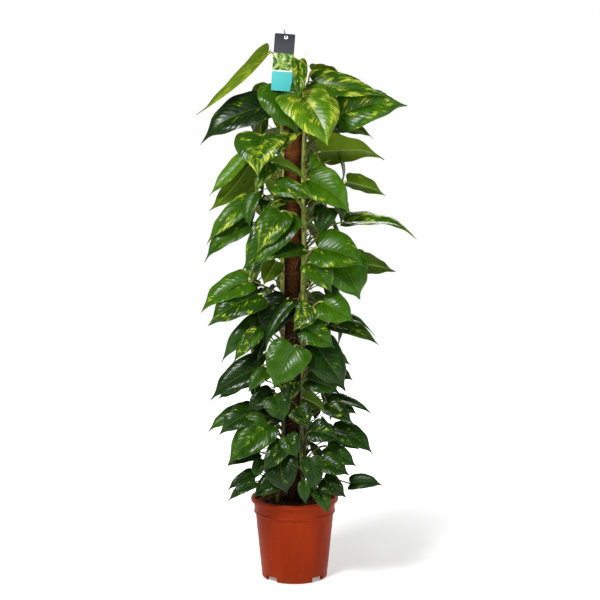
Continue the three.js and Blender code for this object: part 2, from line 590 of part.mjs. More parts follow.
const FINISH = {
  pot: { color: 0xa3452a, roughness: 0.45, metalness: 0 },
  soil: { color: 0x3b241a, roughness: 0.95, metalness: 0 },
  pole_core: { color: 0xa98a5f, roughness: 0.8, metalness: 0 },
  pole_coir: { color: 0x6b432b, roughness: 0.95, metalness: 0 },
  label_card: { color: 0xd9dcd4, roughness: 0.4, metalness: 0 },
  label_stick: { color: 0x35363a, roughness: 0.5, metalness: 0 },
};

const plant = new THREE.Group();

function place(name, made, finish) {
  const mesh = new THREE.Mesh(geometryOf(made), new THREE.MeshStandardMaterial(finish));
  mesh.name = name;
  plant.add(mesh);
}

place("pot", potSolid(), FINISH.pot);
place("soil", soilSolid(), FINISH.soil);
place("pole_core", coreSolid(), FINISH.pole_core);
place("pole_coir", coirSolid(), FINISH.pole_coir);
for (const [name, { colour }] of Object.entries(VINES)) {
  place(name, vineSolid(name), { color: colour, roughness: 0.4, metalness: 0, side: THREE.DoubleSide });
}
place("label_card", cardSolid(), FINISH.label_card);
place("label_stick", rod(stickCurve(), STICK_RADIUS, 6, 12), FINISH.label_stick);

export default plant;
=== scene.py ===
"""Looks of a climbing aroid with yellow-marbled leaves on a coir pole, in a plastic nursery pot.

Each node of the frame is made again with a fine surface of the same form. Shapes are worked out
in millimetres, like the plan of the solids, and Surface turns them into metres.
"""
import math

import bpy
import numpy as np
from mathutils import Matrix, Vector, noise


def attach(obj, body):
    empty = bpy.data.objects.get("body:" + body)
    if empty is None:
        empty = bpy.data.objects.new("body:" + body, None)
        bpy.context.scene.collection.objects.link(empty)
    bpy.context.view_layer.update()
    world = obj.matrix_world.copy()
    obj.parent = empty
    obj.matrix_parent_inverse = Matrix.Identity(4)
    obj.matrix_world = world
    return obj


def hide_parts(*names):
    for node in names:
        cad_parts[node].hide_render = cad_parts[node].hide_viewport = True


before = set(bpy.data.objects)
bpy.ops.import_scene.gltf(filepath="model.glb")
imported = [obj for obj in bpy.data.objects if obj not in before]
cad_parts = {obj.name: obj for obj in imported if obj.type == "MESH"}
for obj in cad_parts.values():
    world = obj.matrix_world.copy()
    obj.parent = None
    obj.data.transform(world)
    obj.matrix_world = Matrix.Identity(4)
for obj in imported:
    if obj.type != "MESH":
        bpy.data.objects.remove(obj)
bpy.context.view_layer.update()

MM = 0.001
GOLDEN = (math.sqrt(5) - 1) / 2
rng = np.random.default_rng(11)

# Driving dimensions, as in the solids
GAP = 0.3
POT_HEIGHT = 225
RIM_RADIUS = 120
COLLAR_RADIUS = 110.5
BODY_TOP_RADIUS = 107.5
BODY_BASE_RADIUS = 89.5
POT_WALL = 2.2
RIM_DROP = 12
COLLAR_DROP = 44
FOOT_HEIGHT = 14
FOOT_SPAN = 65
FLOOR_TOP = 17
SOIL_TOP = 207
POLE_TOP = 1388
POLE_RADIUS = 27.5
CORE_RADIUS = 13
STEM_RADIUS = 6
CLIMB_RADIUS = POLE_RADIUS + STEM_RADIUS + 1.2
ROOT_RADIUS = 52
CARD_WIDTH = 54
CARD_HEIGHT = 160
CARD_THICK = 0.8
STICK_RADIUS = 1.5

# Stems: where each one leaves the soil, how far it turns round the pole, and its top
LEFT, FRONT, RIGHT, BACK = "vine_left", "vine_front", "vine_right", "vine_back"
VINES = {
    LEFT: {"azimuth": 205, "turn": -12, "top": 1345},
    FRONT: {"azimuth": 303, "turn": 14, "top": 1375},
    RIGHT: {"azimuth": 30, "turn": 10, "top": 1330},
    BACK: {"azimuth": 118, "turn": -10, "top": 1352},
}

# Leaves that face the front and sides: vine, blade's base x y z, tip x y z, width, facing azimuth
# and elevation in degrees, arch, fold in degrees, share of yellow
LEAVES = [
    (LEFT, -70, -38, 1422, -265, -60, 1268, 62, 180, 62, -0.07, 40, 0.5),
    (LEFT, -70, -45, 1288, -255, -70, 1203, 126, 0, 50, 0.05, 12, 0.15),
    (FRONT, 14, -92, 1318, 88, -166, 1188, 156, 15, 25, 0.05, 14, 0.55),
    (FRONT, -42, -62, 1345, 12, -122, 1218, 120, -4, 25, 0.05, 12, 0.03),
    (FRONT, 12, -88, 1404, 12, -138, 1303, 42, 10, 15, 0.05, 14, 0.5),
    (RIGHT, 48, -14, 1380, 134, -26, 1372, 80, 180, 66, 0.06, 15, 0.1),
    (FRONT, 50, -55, 1350, 244, -75, 1323, 90, 0, 42, 0.04, 12, 0.5),
    (FRONT, 120, -50, 1263, 298, -60, 1298, 108, 0, 20, 0.06, 12, 0.35),
    (RIGHT, 120, -20, 1230, 212, -20, 1209, 60, 180, 60, 0.05, 14, 0.1),
    (RIGHT, 70, -40, 1168, 238, -45, 1172, 132, 180, 55, 0.0, 12, 0.05),
    (FRONT, 62, -60, 1150, 36, -80, 1120, 36, 0, 20, 0.05, 12, 0.1),
    (LEFT, -80, -92, 1210, -97, -165, 1118, 136, -10, 40, 0.06, 12, 0.5),
    (LEFT, -2, -78, 1220, -46, -118, 1166, 62, -35, 20, 0.06, 14, 0.6),
    (LEFT, -132, -50, 1153, -229, -66, 1054, 55, -20, 50, -0.02, 14, 0.05),
    (BACK, -121, -24, 1131, -229, -48, 1008, 60, 150, 30, 0.0, 14, 0.1),
    (LEFT, -57, -75, 1150, -109, -120, 1058, 60, -30, 20, 0.06, 16, 0.4),
    (LEFT, -54, -110, 1141, 40, -140, 1092, 45, 180, 50, 0.06, 14, 0.1),
    (FRONT, -48, -110, 1080, 48, -150, 1049, 60, 0, 35, 0.06, 14, 0.4),
    (FRONT, 41, -90, 1094, 150, -128, 1013, 100, 10, 20, 0.06, 14, 0.1),
    (RIGHT, 142, -30, 1088, 245, -40, 1058, 78, 180, 55, -0.02, 14, 0.1),
    (LEFT, -121, -50, 1039, -243, -75, 935, 62, -10, 40, 0.05, 16, 0.35),
    (LEFT, -119, -50, 978, -245, -75, 882, 75, 0, 50, 0.09, 14, 0.2),
    (LEFT, -102, -70, 1059, -125, -100, 968, 55, -40, 20, 0.06, 14, 0.1),
    (LEFT, -70, -60, 1037, -75, -90, 985, 45, 0, 20, 0.06, 14, 0.1),
    (FRONT, -7, -80, 1045, -70, -110, 1013, 40, -10, 40, 0.06, 20, 0.6),
    (FRONT, -35, -110, 1010, -99, -150, 911, 85, -15, 15, 0.05, 14, 0.45),
    (FRONT, -17, -90, 1002, -140, -135, 860, 110, -15, 20, 0.05, 14, 0.15),
    (FRONT, 22, -110, 911, -111, -150, 877, 55, -10, 50, 0.06, 14, 0.2),
    (LEFT, -49, -95, 878, -80, -120, 817, 55, 160, 10, 0.05, 14, 0.1),
    (LEFT, -124, -60, 822, -255, -80, 756, 92, 0, 50, 0.03, 14, 0.15),
    (LEFT, -97, -80, 790, -231, -110, 716, 104, 0, 40, 0.06, 14, 0.35),
    (BACK, -97, -15, 808, -170, -10, 798, 60, 0, 75, 0.06, 14, 0.0),
    (LEFT, -20, -75, 776, -86, -95, 663, 95, -15, 20, 0.06, 14, 0.0),
    (LEFT, -78, -60, 725, -204, -90, 616, 62, 0, 40, 0.16, 14, 0.0),
    (LEFT, -98, -100, 693, -163, -130, 617, 45, 0, 30, 0.06, 14, 0.3),
    (LEFT, -9, -120, 769, -80, -155, 647, 50, -50, 20, 0.06, 16, 0.15),
    (FRONT, 41, -135, 763, -4, -160, 703, 60, 0, 15, 0.06, 14, 0.5),
    (FRONT, -1, -158, 660, -54, -190, 554, 110, -5, 10, 0.04, 10, 0.03),
    (FRONT, -7, -130, 568, -22, -150, 507, 55, 0, 5, 0.05, 12, 0.4),
    (FRONT, -52, -130, 525, -28, -155, 458, 72, -10, 15, 0.06, 12, 0.1),
    (LEFT, -87, -95, 600, -229, -125, 522, 90, 0, 40, -0.02, 14, 0.05),
    (LEFT, -150, -70, 550, -205, -85, 512, 40, 0, 40, 0.06, 14, 0.0),
    (LEFT, -75, -125, 589, -124, -145, 541, 45, -20, 20, 0.06, 14, 0.1),
    (LEFT, -60, -100, 528, -127, -120, 483, 60, 0, 30, 0.06, 14, 0.0),
    (LEFT, -108, -90, 478, -206, -120, 426, 75, 0, 45, 0.12, 14, 0.05),
    (BACK, -130, -60, 478, -240, -80, 424, 62, -20, 60, 0.0, 14, 0.0),
    (LEFT, -44, -88, 477, -118, -100, 433, 60, 0, 30, 0.06, 14, 0.05),
    (LEFT, -72, -130, 450, -182, -160, 352, 104, -15, 35, 0.03, 14, 0.25),
    (LEFT, -100, -110, 370, -178, -130, 339, 50, 0, 50, 0.0, 14, 0.0),
    (LEFT, -30, -150, 400, -83, -180, 335, 60, -20, 15, 0.08, 16, 0.2),
    (FRONT, -17, -155, 423, 9, -180, 369, 52, 0, 8, 0.06, 12, 0.1),
    (FRONT, -38, -155, 361, -22, -185, 274, 88, -10, 12, 0.06, 10, 0.05),
    (FRONT, 41, -170, 367, 54, -190, 281, 58, 5, 12, 0.06, 12, 0.05),
    (FRONT, 28, -165, 302, 30, -175, 245, 35, 0, 12, 0.06, 12, 0.0),
    (FRONT, 62, -150, 279, 91, -168, 215, 45, 10, 15, 0.08, 14, 0.2),
    (FRONT, 62, -115, 917, 190, -140, 880, 122, 5, 40, 0.06, 14, 0.25),
    (FRONT, 88, -70, 1019, 68, -90, 949, 62, -10, 5, 0.04, 10, 0.05),
    (RIGHT, 138, -30, 980, 328, -50, 968, 80, 0, 66, 0.02, 14, 0.5),
    (FRONT, 126, -80, 887, 178, -110, 784, 128, 20, 15, 0.04, 10, 0.05),
    (RIGHT, 163, -40, 873, 272, -45, 852, 92, 180, 50, 0.02, 14, 0.0),
    (FRONT, 43, -130, 878, 99, -155, 804, 75, 10, 15, 0.06, 14, 0.4),
    (FRONT, 76, -120, 774, 160, -145, 728, 92, 5, 35, 0.06, 14, 0.1),
    (FRONT, 67, -90, 738, 219, -110, 700, 45, 0, 65, 0.05, 14, 0.0),
    (FRONT, 30, -135, 709, 108, -155, 659, 75, 5, 25, 0.06, 14, 0.15),
    (FRONT, 55, -118, 662, 140, -150, 545, 105, 10, 20, 0.05, 12, 0.05),
    (FRONT, 95, -75, 710, 226, -105, 664, 56, 5, 45, 0.05, 14, 0.35),
    (RIGHT, 80, -100, 640, 152, -115, 612, 45, 0, 40, 0.06, 14, 0.0),
    (RIGHT, 95, -110, 590, 158, -125, 567, 40, 0, 40, 0.06, 14, 0.0),
    (FRONT, 36, -120, 567, 123, -140, 538, 60, 5, 30, 0.06, 14, 0.05),
    (FRONT, 86, -125, 506, 157, -155, 460, 60, 10, 35, 0.08, 14, 0.2),
    (RIGHT, 103, -85, 512, 209, -105, 475, 40, 10, 60, 0.03, 14, 0.0),
    (RIGHT, 120, -70, 490, 168, -90, 473, 35, 0, 50, 0.06, 14, 0.0),
    (FRONT, 25, -135, 521, 88, -150, 484, 55, 180, 40, 0.06, 14, 0.05),
    (FRONT, 105, -105, 429, 214, -135, 375, 72, 10, 45, 0.08, 14, 0.15),
    (RIGHT, 120, -80, 400, 178, -95, 375, 35, 10, 50, 0.06, 14, 0.0),
    (FRONT, 46, -150, 435, 120, -165, 415, 62, 0, 30, 0.06, 14, 0.15),
    (FRONT, 75, -165, 358, 145, -190, 329, 62, 10, 35, 0.06, 12, 0.15),
    (FRONT, 78, -150, 306, 138, -175, 267, 58, 10, 30, 0.06, 14, 0.25),
    (RIGHT, 150, -130, 290, 234, -150, 292, 48, 0, 40, 0.06, 14, 0.05),
    (FRONT, 88, -130, 388, 168, -155, 348, 60, 10, 35, 0.0, 14, 0.05),
    (LEFT, -113, -130, 318, -179, -155, 280, 35, -10, 40, 0.06, 14, 0.0),
    (LEFT, -104, -162, 300, -178, -184, 262, 36, -10, 45, 0.06, 14, 0.1),
    (LEFT, -84, -128, 352, -108, -142, 302, 38, -10, 20, 0.06, 14, 0.0),
    (FRONT, 7, -140, 495, 38, -165, 446, 60, 0, 10, 0.05, 12, 0.2),
    (LEFT, -38, -128, 303, -112, -150, 258, 62, -10, 35, 0.06, 12, 0.05),
    (RIGHT, 96, -48, 1075, 128, -84, 975, 78, 55, 25, 0.08, 14, 0.3),
    (RIGHT, 92, -36, 952, 124, -60, 868, 70, 65, 25, 0.08, 14, 0.1),
    (RIGHT, 86, -46, 832, 116, -84, 750, 68, 60, 25, 0.08, 14, 0.4),
    (RIGHT, 90, -30, 728, 128, -58, 655, 62, 70, 25, 0.08, 14, 0.0),
    (RIGHT, 86, -48, 612, 118, -84, 538, 62, 60, 25, 0.08, 14, 0.2),
    (RIGHT, 80, -58, 522, 104, -96, 455, 58, 50, 25, 0.08, 14, 0.5),
    (RIGHT, 88, -42, 430, 118, -72, 366, 54, 65, 25, 0.08, 14, 0.1),
    (RIGHT, 80, -60, 345, 108, -92, 288, 50, 50, 25, 0.08, 14, 0.3),
    (LEFT, -88, -34, 1045, -122, -58, 955, 76, -65, 25, 0.08, 14, 0.1),
    (LEFT, -90, -56, 905, -118, -94, 820, 72, -50, 25, 0.08, 14, 0.4),
    (LEFT, -84, -36, 800, -116, -66, 722, 66, -65, 25, 0.08, 14, 0.1),
    (LEFT, -80, -50, 668, -108, -88, 596, 62, -50, 25, 0.08, 14, 0.3),
    (LEFT, -84, -46, 570, -114, -82, 500, 60, -60, 25, 0.08, 14, 0.0),
    (LEFT, -78, -60, 480, -104, -98, 412, 58, -50, 25, 0.08, 14, 0.2),
    (LEFT, -80, -48, 395, -110, -82, 332, 52, -60, 25, 0.08, 14, 0.5),
]

# Leaves on the back and far sides: a trait is its middle value, how far single leaves stray from
# it, and the step that strays it from leaf to leaf
BACK_COUNT = 46
BACK_HEIGHTS = (320, 1346)
BACK_AZIMUTHS = (-2, 182)
BACK_START = 0.94
BACK_SPLIT = 92
BACK_LENGTH = 145
BACK_GROWTH = 0.52
BACK_LATENESS = 1.2
BACK_SPREAD = 42
BACK_ARCH = 0.07
BACK_FOLD = 14
BACK_NARROW = (0.68, 1, 1)
BACK_TRAITS = {
    "size": (0.66, 0.16, 0.731),
    "droop": (48, 20, 0.377),
    "reach": (68, 24, 0.529),
    "heading": (0, 24, 0.853),
    "breadth": (0.68, 0.08, 0.291),
    "facing": (90, 20, 0.619),
    "raised": (38, 14, 0.443),
    "gold": (0.28, 0.5, 0.467),
}


def trait(name, index):
    middle, stray, step = BACK_TRAITS[name]
    return middle + stray * (2 * ((index * step) % 1) - 1)


def lerp(pair, share):
    return pair[0] + (pair[1] - pair[0]) * share


def back_leaf(index):
    """The row of one leaf of the back and far sides."""
    climbed = index / (BACK_COUNT - 1)
    azimuth = lerp(BACK_AZIMUTHS, (index * GOLDEN + BACK_START) % 1)
    size = trait("size", index) + BACK_GROWTH * climbed ** BACK_LATENESS
    reach = trait("reach", index) + BACK_SPREAD * size
    heading = math.radians(azimuth + trait("heading", index))
    droop = math.radians(trait("droop", index))
    length = BACK_LENGTH * size
    out = np.array([math.cos(math.radians(azimuth)), math.sin(math.radians(azimuth)), 0])
    base = reach * out + np.array([0, 0, lerp(BACK_HEIGHTS, climbed)])
    level = length * math.cos(droop)
    fall = np.array([level * math.cos(heading), level * math.sin(heading), -length * math.sin(droop)])
    vine = RIGHT if azimuth < BACK_SPLIT else BACK
    facing = azimuth + trait("facing", index)
    face = (facing, trait("raised", index), BACK_ARCH, BACK_FOLD, max(0, trait("gold", index)))
    base, tip = base * BACK_NARROW, (base + fall) * BACK_NARROW
    return (vine, *base, *tip, length * trait("breadth", index), *face)


# Small tools
BOX_CORNERS = np.array([[x, y, z] for x in (-1, 1) for y in (-1, 1) for z in (-1, 1)], float)
BOX_FACES = np.array([[0, 1, 3, 2], [4, 6, 7, 5], [0, 4, 5, 1], [2, 3, 7, 6], [0, 2, 6, 4], [1, 5, 7, 3]])


def unit(vector):
    return vector / np.maximum(np.linalg.norm(vector, axis=-1, keepdims=True), 1e-9)


def smoothstep(value, low, high):
    share = np.clip((value - low) / (high - low), 0, 1)
    return share * share * (3 - 2 * share)


def bell(value, width):
    return np.exp(-((value / width) ** 2))


def turns(sides):
    """The angles of a circle's points."""
    return np.arange(sides) * 2 * math.pi / sides


def polar(radius, angle, height):
    """Points from their distance to Z, their angle about it and their height."""
    return np.stack(np.broadcast_arrays(radius * np.cos(angle), radius * np.sin(angle), height), -1)


def rotation(degrees, axis):
    """Turns points about an axis, as the matrix to multiply them by."""
    return np.array(Matrix.Rotation(math.radians(degrees), 3, axis)).T


def grid_faces(rows, columns, start=0, around=False):
    """Quads of a grid of points stored row by row, closed round its columns if asked."""
    column = np.arange(columns if around else columns - 1)[None, :]
    row = np.arange(rows - 1)[:, None] * columns + start
    corner = row + column
    beside = row + (column + 1) % columns
    return np.stack([corner, beside, beside + columns, corner + columns], -1).reshape(-1, 4)


def linked(name, data):
    """A new object in the scene."""
    made = bpy.data.objects.new(name, data)
    bpy.context.scene.collection.objects.link(made)
    return made


class Surface:
    """Gathers the points, faces and per-point numbers of one piece, in millimetres."""

    def __init__(self, *channels):
        self.points = []
        self.faces = []
        self.slots = []
        self.channels = {name: [] for name in channels}
        self.count = 0

    def join(self, faces, slot):
        """Adds faces between points that are there already."""
        self.faces += faces.tolist()
        self.slots += [slot] * len(faces)

    def add(self, points, faces, slot=0, **values):
        points = np.asarray(points, float).reshape(-1, 3)
        for group in faces if isinstance(faces, list) else [faces]:
            self.join(group + self.count, slot)
        for name, gathered in self.channels.items():
            value = np.asarray(values.get(name, 0.0), float)
            gathered.append(np.broadcast_to(value.reshape(-1) if value.ndim else value, len(points)))
        self.points.append(points)
        self.count += len(points)

    def mesh(self, name):
        made = bpy.data.meshes.new(name)
        made.from_pydata((np.concatenate(self.points) * MM).tolist(), [], self.faces)
        return made

    def piece(self, name, materials, node, record_slot, sharp):
        """Makes the Blender object, which stands for the frame's node and rides with it."""
        mesh = self.mesh(name)
        for channel, gathered in self.channels.items():
            made = mesh.attributes.new(channel, "FLOAT", "POINT")
            made.data.foreach_set("value", np.concatenate(gathered).astype(np.float32))
        mesh.polygons.foreach_set("material_index", self.slots)
        for material in materials:
            mesh.materials.append(material)
        mesh.shade_smooth()
        mesh.set_sharp_from_angle(angle=math.radians(sharp))
        piece = linked(name, mesh)
        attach(piece, "root")
        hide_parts(node)
        return piece


def tube(path, radii, sides):
    """Points and faces of a closed tube along path."""
    path = np.asarray(path, float)
    heading = unit(np.gradient(path, axis=0))
    upper = unit(np.cross(heading[0], [0.31, 0.83, 0.47]))
    turn = turns(sides)[:, None]
    rings = []
    for centre, along, radius in zip(path, heading, np.broadcast_to(radii, len(path))):
        upper = unit(upper - along * upper.dot(along))
        beside = np.cross(along, upper)
        rings.append(centre + radius * (np.cos(turn) * upper + np.sin(turn) * beside))
    first = np.arange(sides)
    ends = [first[None, ::-1], first[None] + (len(path) - 1) * sides]
    return np.concatenate(rings), [grid_faces(len(path), sides, around=True), *ends]


FIBRE_TURNS = (0, 2.094, 4.189)
FIBRE_STEPS = np.linspace(-1, 1, 5)


def strands(paths, radius):
    """Points, faces and tones of many thin three-sided fibres, from an array of fibre, step and place."""
    count, steps, _ = paths.shape
    heading = unit(np.gradient(paths, axis=1))
    beside = unit(np.cross(heading, [0.17, 0.29, 0.94]))
    upper = np.cross(heading, beside)
    taper = np.sin(np.linspace(0.12, 0.95, steps) * math.pi)[None, :, None]
    size = np.asarray(radius).reshape(-1, 1, 1) * (0.45 + 0.55 * taper)
    corners = [paths + size * (math.cos(turn) * upper + math.sin(turn) * beside) for turn in FIBRE_TURNS]
    points = np.stack(corners, 2).reshape(-1, 3)
    one = grid_faces(steps, 3, around=True)
    faces = (one[None] + np.arange(count)[:, None, None] * steps * 3).reshape(-1, 4)
    return points, faces, np.repeat(rng.random(count), steps * 3)


def rough(points, scale, seed):
    """Noise from -1 to 1 at each point."""
    shift = Vector((seed, seed, seed))
    return np.array([noise.noise(Vector(point) * scale + shift) for point in points])


# Materials
def srgb(red, green, blue):
    """A colour as it looks on screen, from 0 to 255, as the shader's linear colour."""
    share = np.array([red, green, blue]) / 255
    linear = np.where(share <= 0.04045, share / 12.92, ((share + 0.055) / 1.055) ** 2.4)
    return (*linear.tolist(), 1.0)


class Value:
    """A number or colour that varies over a surface. Sums with it add the nodes that work them out."""

    def __init__(self, shader, socket):
        self.shader = shader
        self.socket = socket

    def __add__(self, other):
        return self.shader.math("ADD", self, other)

    def __sub__(self, other):
        return self.shader.math("SUBTRACT", self, other)

    def __rsub__(self, other):
        return self.shader.math("SUBTRACT", other, self)

    def __mul__(self, other):
        return self.shader.math("MULTIPLY", self, other)

    def __pow__(self, other):
        return self.shader.math("POWER", self, other)

    def __abs__(self):
        return self.shader.math("ABSOLUTE", self)


class Shader:
    """Short calls that add nodes to one material."""

    def __init__(self, name, roughness=0.5, **fixed):
        self.material = bpy.data.materials.new(name)
        self.material.use_nodes = True
        self.tree = self.material.node_tree
        self.surface = self.tree.nodes["Principled BSDF"].inputs
        self.surface["Roughness"].default_value = roughness
        for socket, value in fixed.items():
            self.surface[socket.replace("_", " ")].default_value = value

    def put(self, socket, value):
        if isinstance(value, Value):
            self.tree.links.new(value.socket, socket)
        elif value is not None:
            socket.default_value = value

    def node(self, kind, *values, **settings):
        made = self.tree.nodes.new("ShaderNode" + kind)
        for name, value in settings.items():
            setattr(made, name, value)
        for socket, value in zip(made.inputs, values):
            self.put(socket, value)
        return made

    def value(self, kind, *values, output=0, **settings):
        return Value(self, self.node(kind, *values, **settings).outputs[output])

    def number(self, name):
        return self.value("Attribute", output="Fac", attribute_name=name)

    def math(self, operation, *values):
        return self.value("Math", *values, operation=operation)

    def span(self, value, low, high, start=0.0, end=1.0):
        """value from low to high, smoothly turned into start to end."""
        return self.value("MapRange", value, low, high, start, end, interpolation_type="SMOOTHSTEP")

    def vector(self, x, y, z):
        return self.value("CombineXYZ", x, y, z)

    def place(self):
        return self.value("TexCoord", output="Object")

    def axes(self):
        """The place on the object, as its three numbers."""
        return [Value(self, output) for output in self.node("SeparateXYZ", self.place()).outputs]

    def stretched(self, x, y, z):
        """The place on the object, stretched along each axis."""
        return self.value("VectorMath", self.place(), (x, y, z), operation="MULTIPLY")

    def noise(self, vector, scale, detail=2.0, roughness=0.55):
        return self.value("TexNoise", vector, None, scale, detail, roughness, output="Fac")

    def mix(self, share, first, second):
        made = self.node("Mix", data_type="RGBA")
        for number, value in ((0, share), (6, first), (7, second)):
            self.put(made.inputs[number], value)
        return Value(self, made.outputs[2])

    def ramp(self, value, *stops):
        """A colour for value, from pairs of position and colour."""
        made = self.node("ValToRGB", value)
        elements = made.color_ramp.elements
        while len(elements) < len(stops):
            elements.new(0.5)
        for element, (position, colour) in zip(elements, stops):
            element.position = position
            element.color = colour
        return Value(self, made.outputs[0])

    def finish(self, colour, height=None, depth=0.001, roughness=None):
        self.put(self.surface["Base Color"], colour)
        self.put(self.surface["Roughness"], roughness)
        if height is not None:
            bump = self.node("Bump")
            self.put(bump.inputs["Height"], height)
            bump.inputs["Distance"].default_value = depth
            self.put(self.surface["Normal"], Value(self, bump.outputs[0]))
        return self.material


BLADE_CHANNELS = ("vein", "side", "along", "leaf", "gold", "tone")


def blade_traits(shader, grain, stray):
    """For both faces of a blade: the share from the midrib to the margin, how far off a vein, the
    mottle, how light the green is, and how far it is yellow, above 0 where it is."""
    vein, side, along, leaf, gold, tone = (shader.number(name) for name in BLADE_CHANNELS)
    streaks = shader.noise(shader.vector(vein * 2.4, side * 1.1, leaf * 61), 1.6, 5, 0.6)
    patches = shader.noise(shader.vector(along * 3.4, side * 1.5, leaf * 37), 1.4, 1)
    level = streaks * 1.5 + patches * 1.15 + (gold * 0.62 - 1.76)
    off_vein = abs(shader.math("FRACT", vein + 0.5) - 0.5)
    mottle = shader.noise(shader.place(), grain, 3)
    return abs(side), off_vein, mottle, tone + (mottle - 0.5) * stray, level


def shaded(shader, colour, gloss):
    """Leaves close to the pole get little light, the least low on the plant: darker and duller there."""
    x, y, z = shader.axes()
    away = shader.math("SQRT", x * x + y * y)
    depth = shader.span(away, 0.04, 0.2, 1.0, 0.0) * shader.span(z, 0.35, 1.2, 0.95, 0.45)
    shader.put(shader.surface["Specular IOR Level"], (1.0 - depth) * gloss)
    return shader.mix(depth, colour, srgb(5, 12, 2))


def gloomy(shader, colour, most, least, low, high):
    """Painted shade: what stands on the pole's axis is darker low down, between the leaves."""
    return shader.mix(shader.span(shader.axes()[2], low, high, most, least), colour, srgb(10, 10, 5))


def blade_top():
    shader = Shader("leaf_top", roughness=0.3)
    share, off_vein, mottle, light, level = blade_traits(shader, 38, 0.5)
    green = shader.ramp(
        light,
        (0.0, srgb(10, 28, 6)),
        (0.35, srgb(22, 50, 5)),
        (0.7, srgb(48, 86, 5)),
        (1.0, srgb(82, 120, 10)),
    )
    crease = shader.span(off_vein, 0.0, 0.09, 1.0, 0.0)
    green = shader.mix(crease * 0.14, green, srgb(88, 128, 30))
    halo = shader.span(level, -0.16, 0.04, 0.0, 0.6)
    green = shader.mix(halo, green, srgb(90, 128, 10))
    vein, side, leaf = (shader.number(name) for name in ("vein", "side", "leaf"))
    cream = shader.noise(shader.vector(vein * 2.2, side, leaf * 19), 2.4, 2)
    yellow = shader.ramp(
        cream,
        (0.34, srgb(122, 142, 16)),
        (0.52, srgb(166, 172, 44)),
        (0.7, srgb(204, 204, 122)),
    )
    colour = shader.mix(shader.span(level, 0.0, 0.09), green, yellow)
    midrib = shader.span(share, 0.008, 0.03, 0.36, 0.0)
    colour = shader.mix(midrib, colour, srgb(96, 132, 36))
    margin = shader.span(share, 0.975, 1.0, 0.0, 0.4)
    colour = shader.mix(margin, colour, srgb(118, 144, 44))
    pillow = (off_vein + 0.02) ** 0.7
    fine = shader.noise(shader.place(), 420, 2)
    height = pillow * shader.span(share, 0.0, 0.25, 0.1, 1.0) + fine * 0.08
    gloss = shader.span(mottle, 0.3, 0.7, 0.18, 0.34)
    return shader.finish(shaded(shader, colour, 0.18), height, 0.0006, gloss)


def blade_under():
    shader = Shader("leaf_under", roughness=0.5)
    share, off_vein, _, light, level = blade_traits(shader, 30, 0.4)
    green = shader.ramp(light, (0.0, srgb(30, 50, 6)), (0.5, srgb(64, 92, 10)), (1.0, srgb(112, 136, 20)))
    ridge = shader.span(off_vein, 0.0, 0.12, 1.0, 0.0)
    green = shader.mix(ridge * 0.3, green, srgb(108, 130, 40))
    colour = shader.mix(shader.span(level, -0.05, 0.12, 0.0, 0.7), green, srgb(136, 146, 30))
    midrib = shader.span(share, 0.02, 0.06, 0.8, 0.0)
    colour = shader.mix(midrib, colour, srgb(120, 140, 52))
    height = ridge * 0.5 + shader.noise(shader.place(), 300, 2) * 0.15
    return shader.finish(shaded(shader, colour, 0.08), height, 0.0008)


def stem_skin():
    """Stems and petioles: pale green with long streaks, brown rings where leaves and roots sit."""
    shader = Shader("stem_skin", roughness=0.42, Specular_IOR_Level=0.2)
    scar, tone = shader.number("scar"), shader.number("tone")
    streaks = shader.noise(shader.stretched(260, 260, 22), 1.0, 3)
    base = shader.mix(tone, srgb(34, 52, 8), srgb(178, 196, 74))
    colour = shader.mix(tone * shader.span(streaks, 0.42, 0.66), base, srgb(222, 226, 138))
    colour = shader.mix(shader.span(streaks, 0.46, 0.3, 0.0, 0.45), colour, srgb(80, 108, 20))
    bark = shader.noise(shader.place(), 160, 3)
    colour = shader.mix(scar * shader.span(bark, 0.3, 0.6), colour, srgb(104, 74, 42))
    height = streaks * 0.6 + bark * (scar + 0.2)
    # Painted shade: stems and petioles are darker low down, between the leaves
    return shader.finish(gloomy(shader, colour, 0.72, 0.0, 0.4, 0.85), height, 0.0007)


def root_skin():
    shader = Shader("root_skin", roughness=0.8)
    grain = shader.noise(shader.place(), 240, 3)
    colour = shader.ramp(grain, (0.3, srgb(42, 34, 16)), (0.7, srgb(96, 78, 42)))
    # Painted shade: roots are darker low down, between the leaves
    return shader.finish(gloomy(shader, colour, 0.6, 0.1, 0.4, 0.9), grain, 0.0005)


def pot_plastic():
    """Moulded terracotta-coloured plastic: satin, with flow marks, dust, scuffs and a paler rim top."""
    shader = Shader("pot_plastic", roughness=0.42, Specular_IOR_Level=0.06)
    flow = shader.noise(shader.stretched(26, 26, 2.2), 1.0, 3)
    cloud = shader.noise(shader.place(), 9, 3)
    base = shader.mix(shader.span(flow, 0.3, 0.7), srgb(126, 36, 4), srgb(141, 43, 6))
    base = shader.mix(shader.span(cloud, 0.4, 0.75, 0.0, 0.35), base, srgb(118, 32, 4))
    z = shader.axes()[2]
    # The top 5 mm of the rim is paler
    lip = shader.span(z, (POT_HEIGHT - 5) * MM, POT_HEIGHT * MM, 0.0, 0.4)
    colour = shader.mix(lip, base, srgb(160, 62, 32))
    dirt = shader.noise(shader.place(), 60, 5, 0.7)
    splashed = shader.span(z, 0.0, 0.05, 0.5, 0.0) * shader.span(dirt, 0.45, 0.7)
    colour = shader.mix(splashed, colour, srgb(104, 62, 42))
    scuffs = shader.noise(shader.stretched(30, 30, 300), 1.0, 4, 0.7)
    colour = shader.mix(shader.span(scuffs, 0.62, 0.74, 0.0, 0.16), colour, srgb(190, 112, 82))
    height = shader.noise(shader.place(), 900, 2) * 0.35 + scuffs * 0.4
    return shader.finish(colour, height, 0.00012, shader.span(dirt, 0.35, 0.7, 0.36, 0.52))


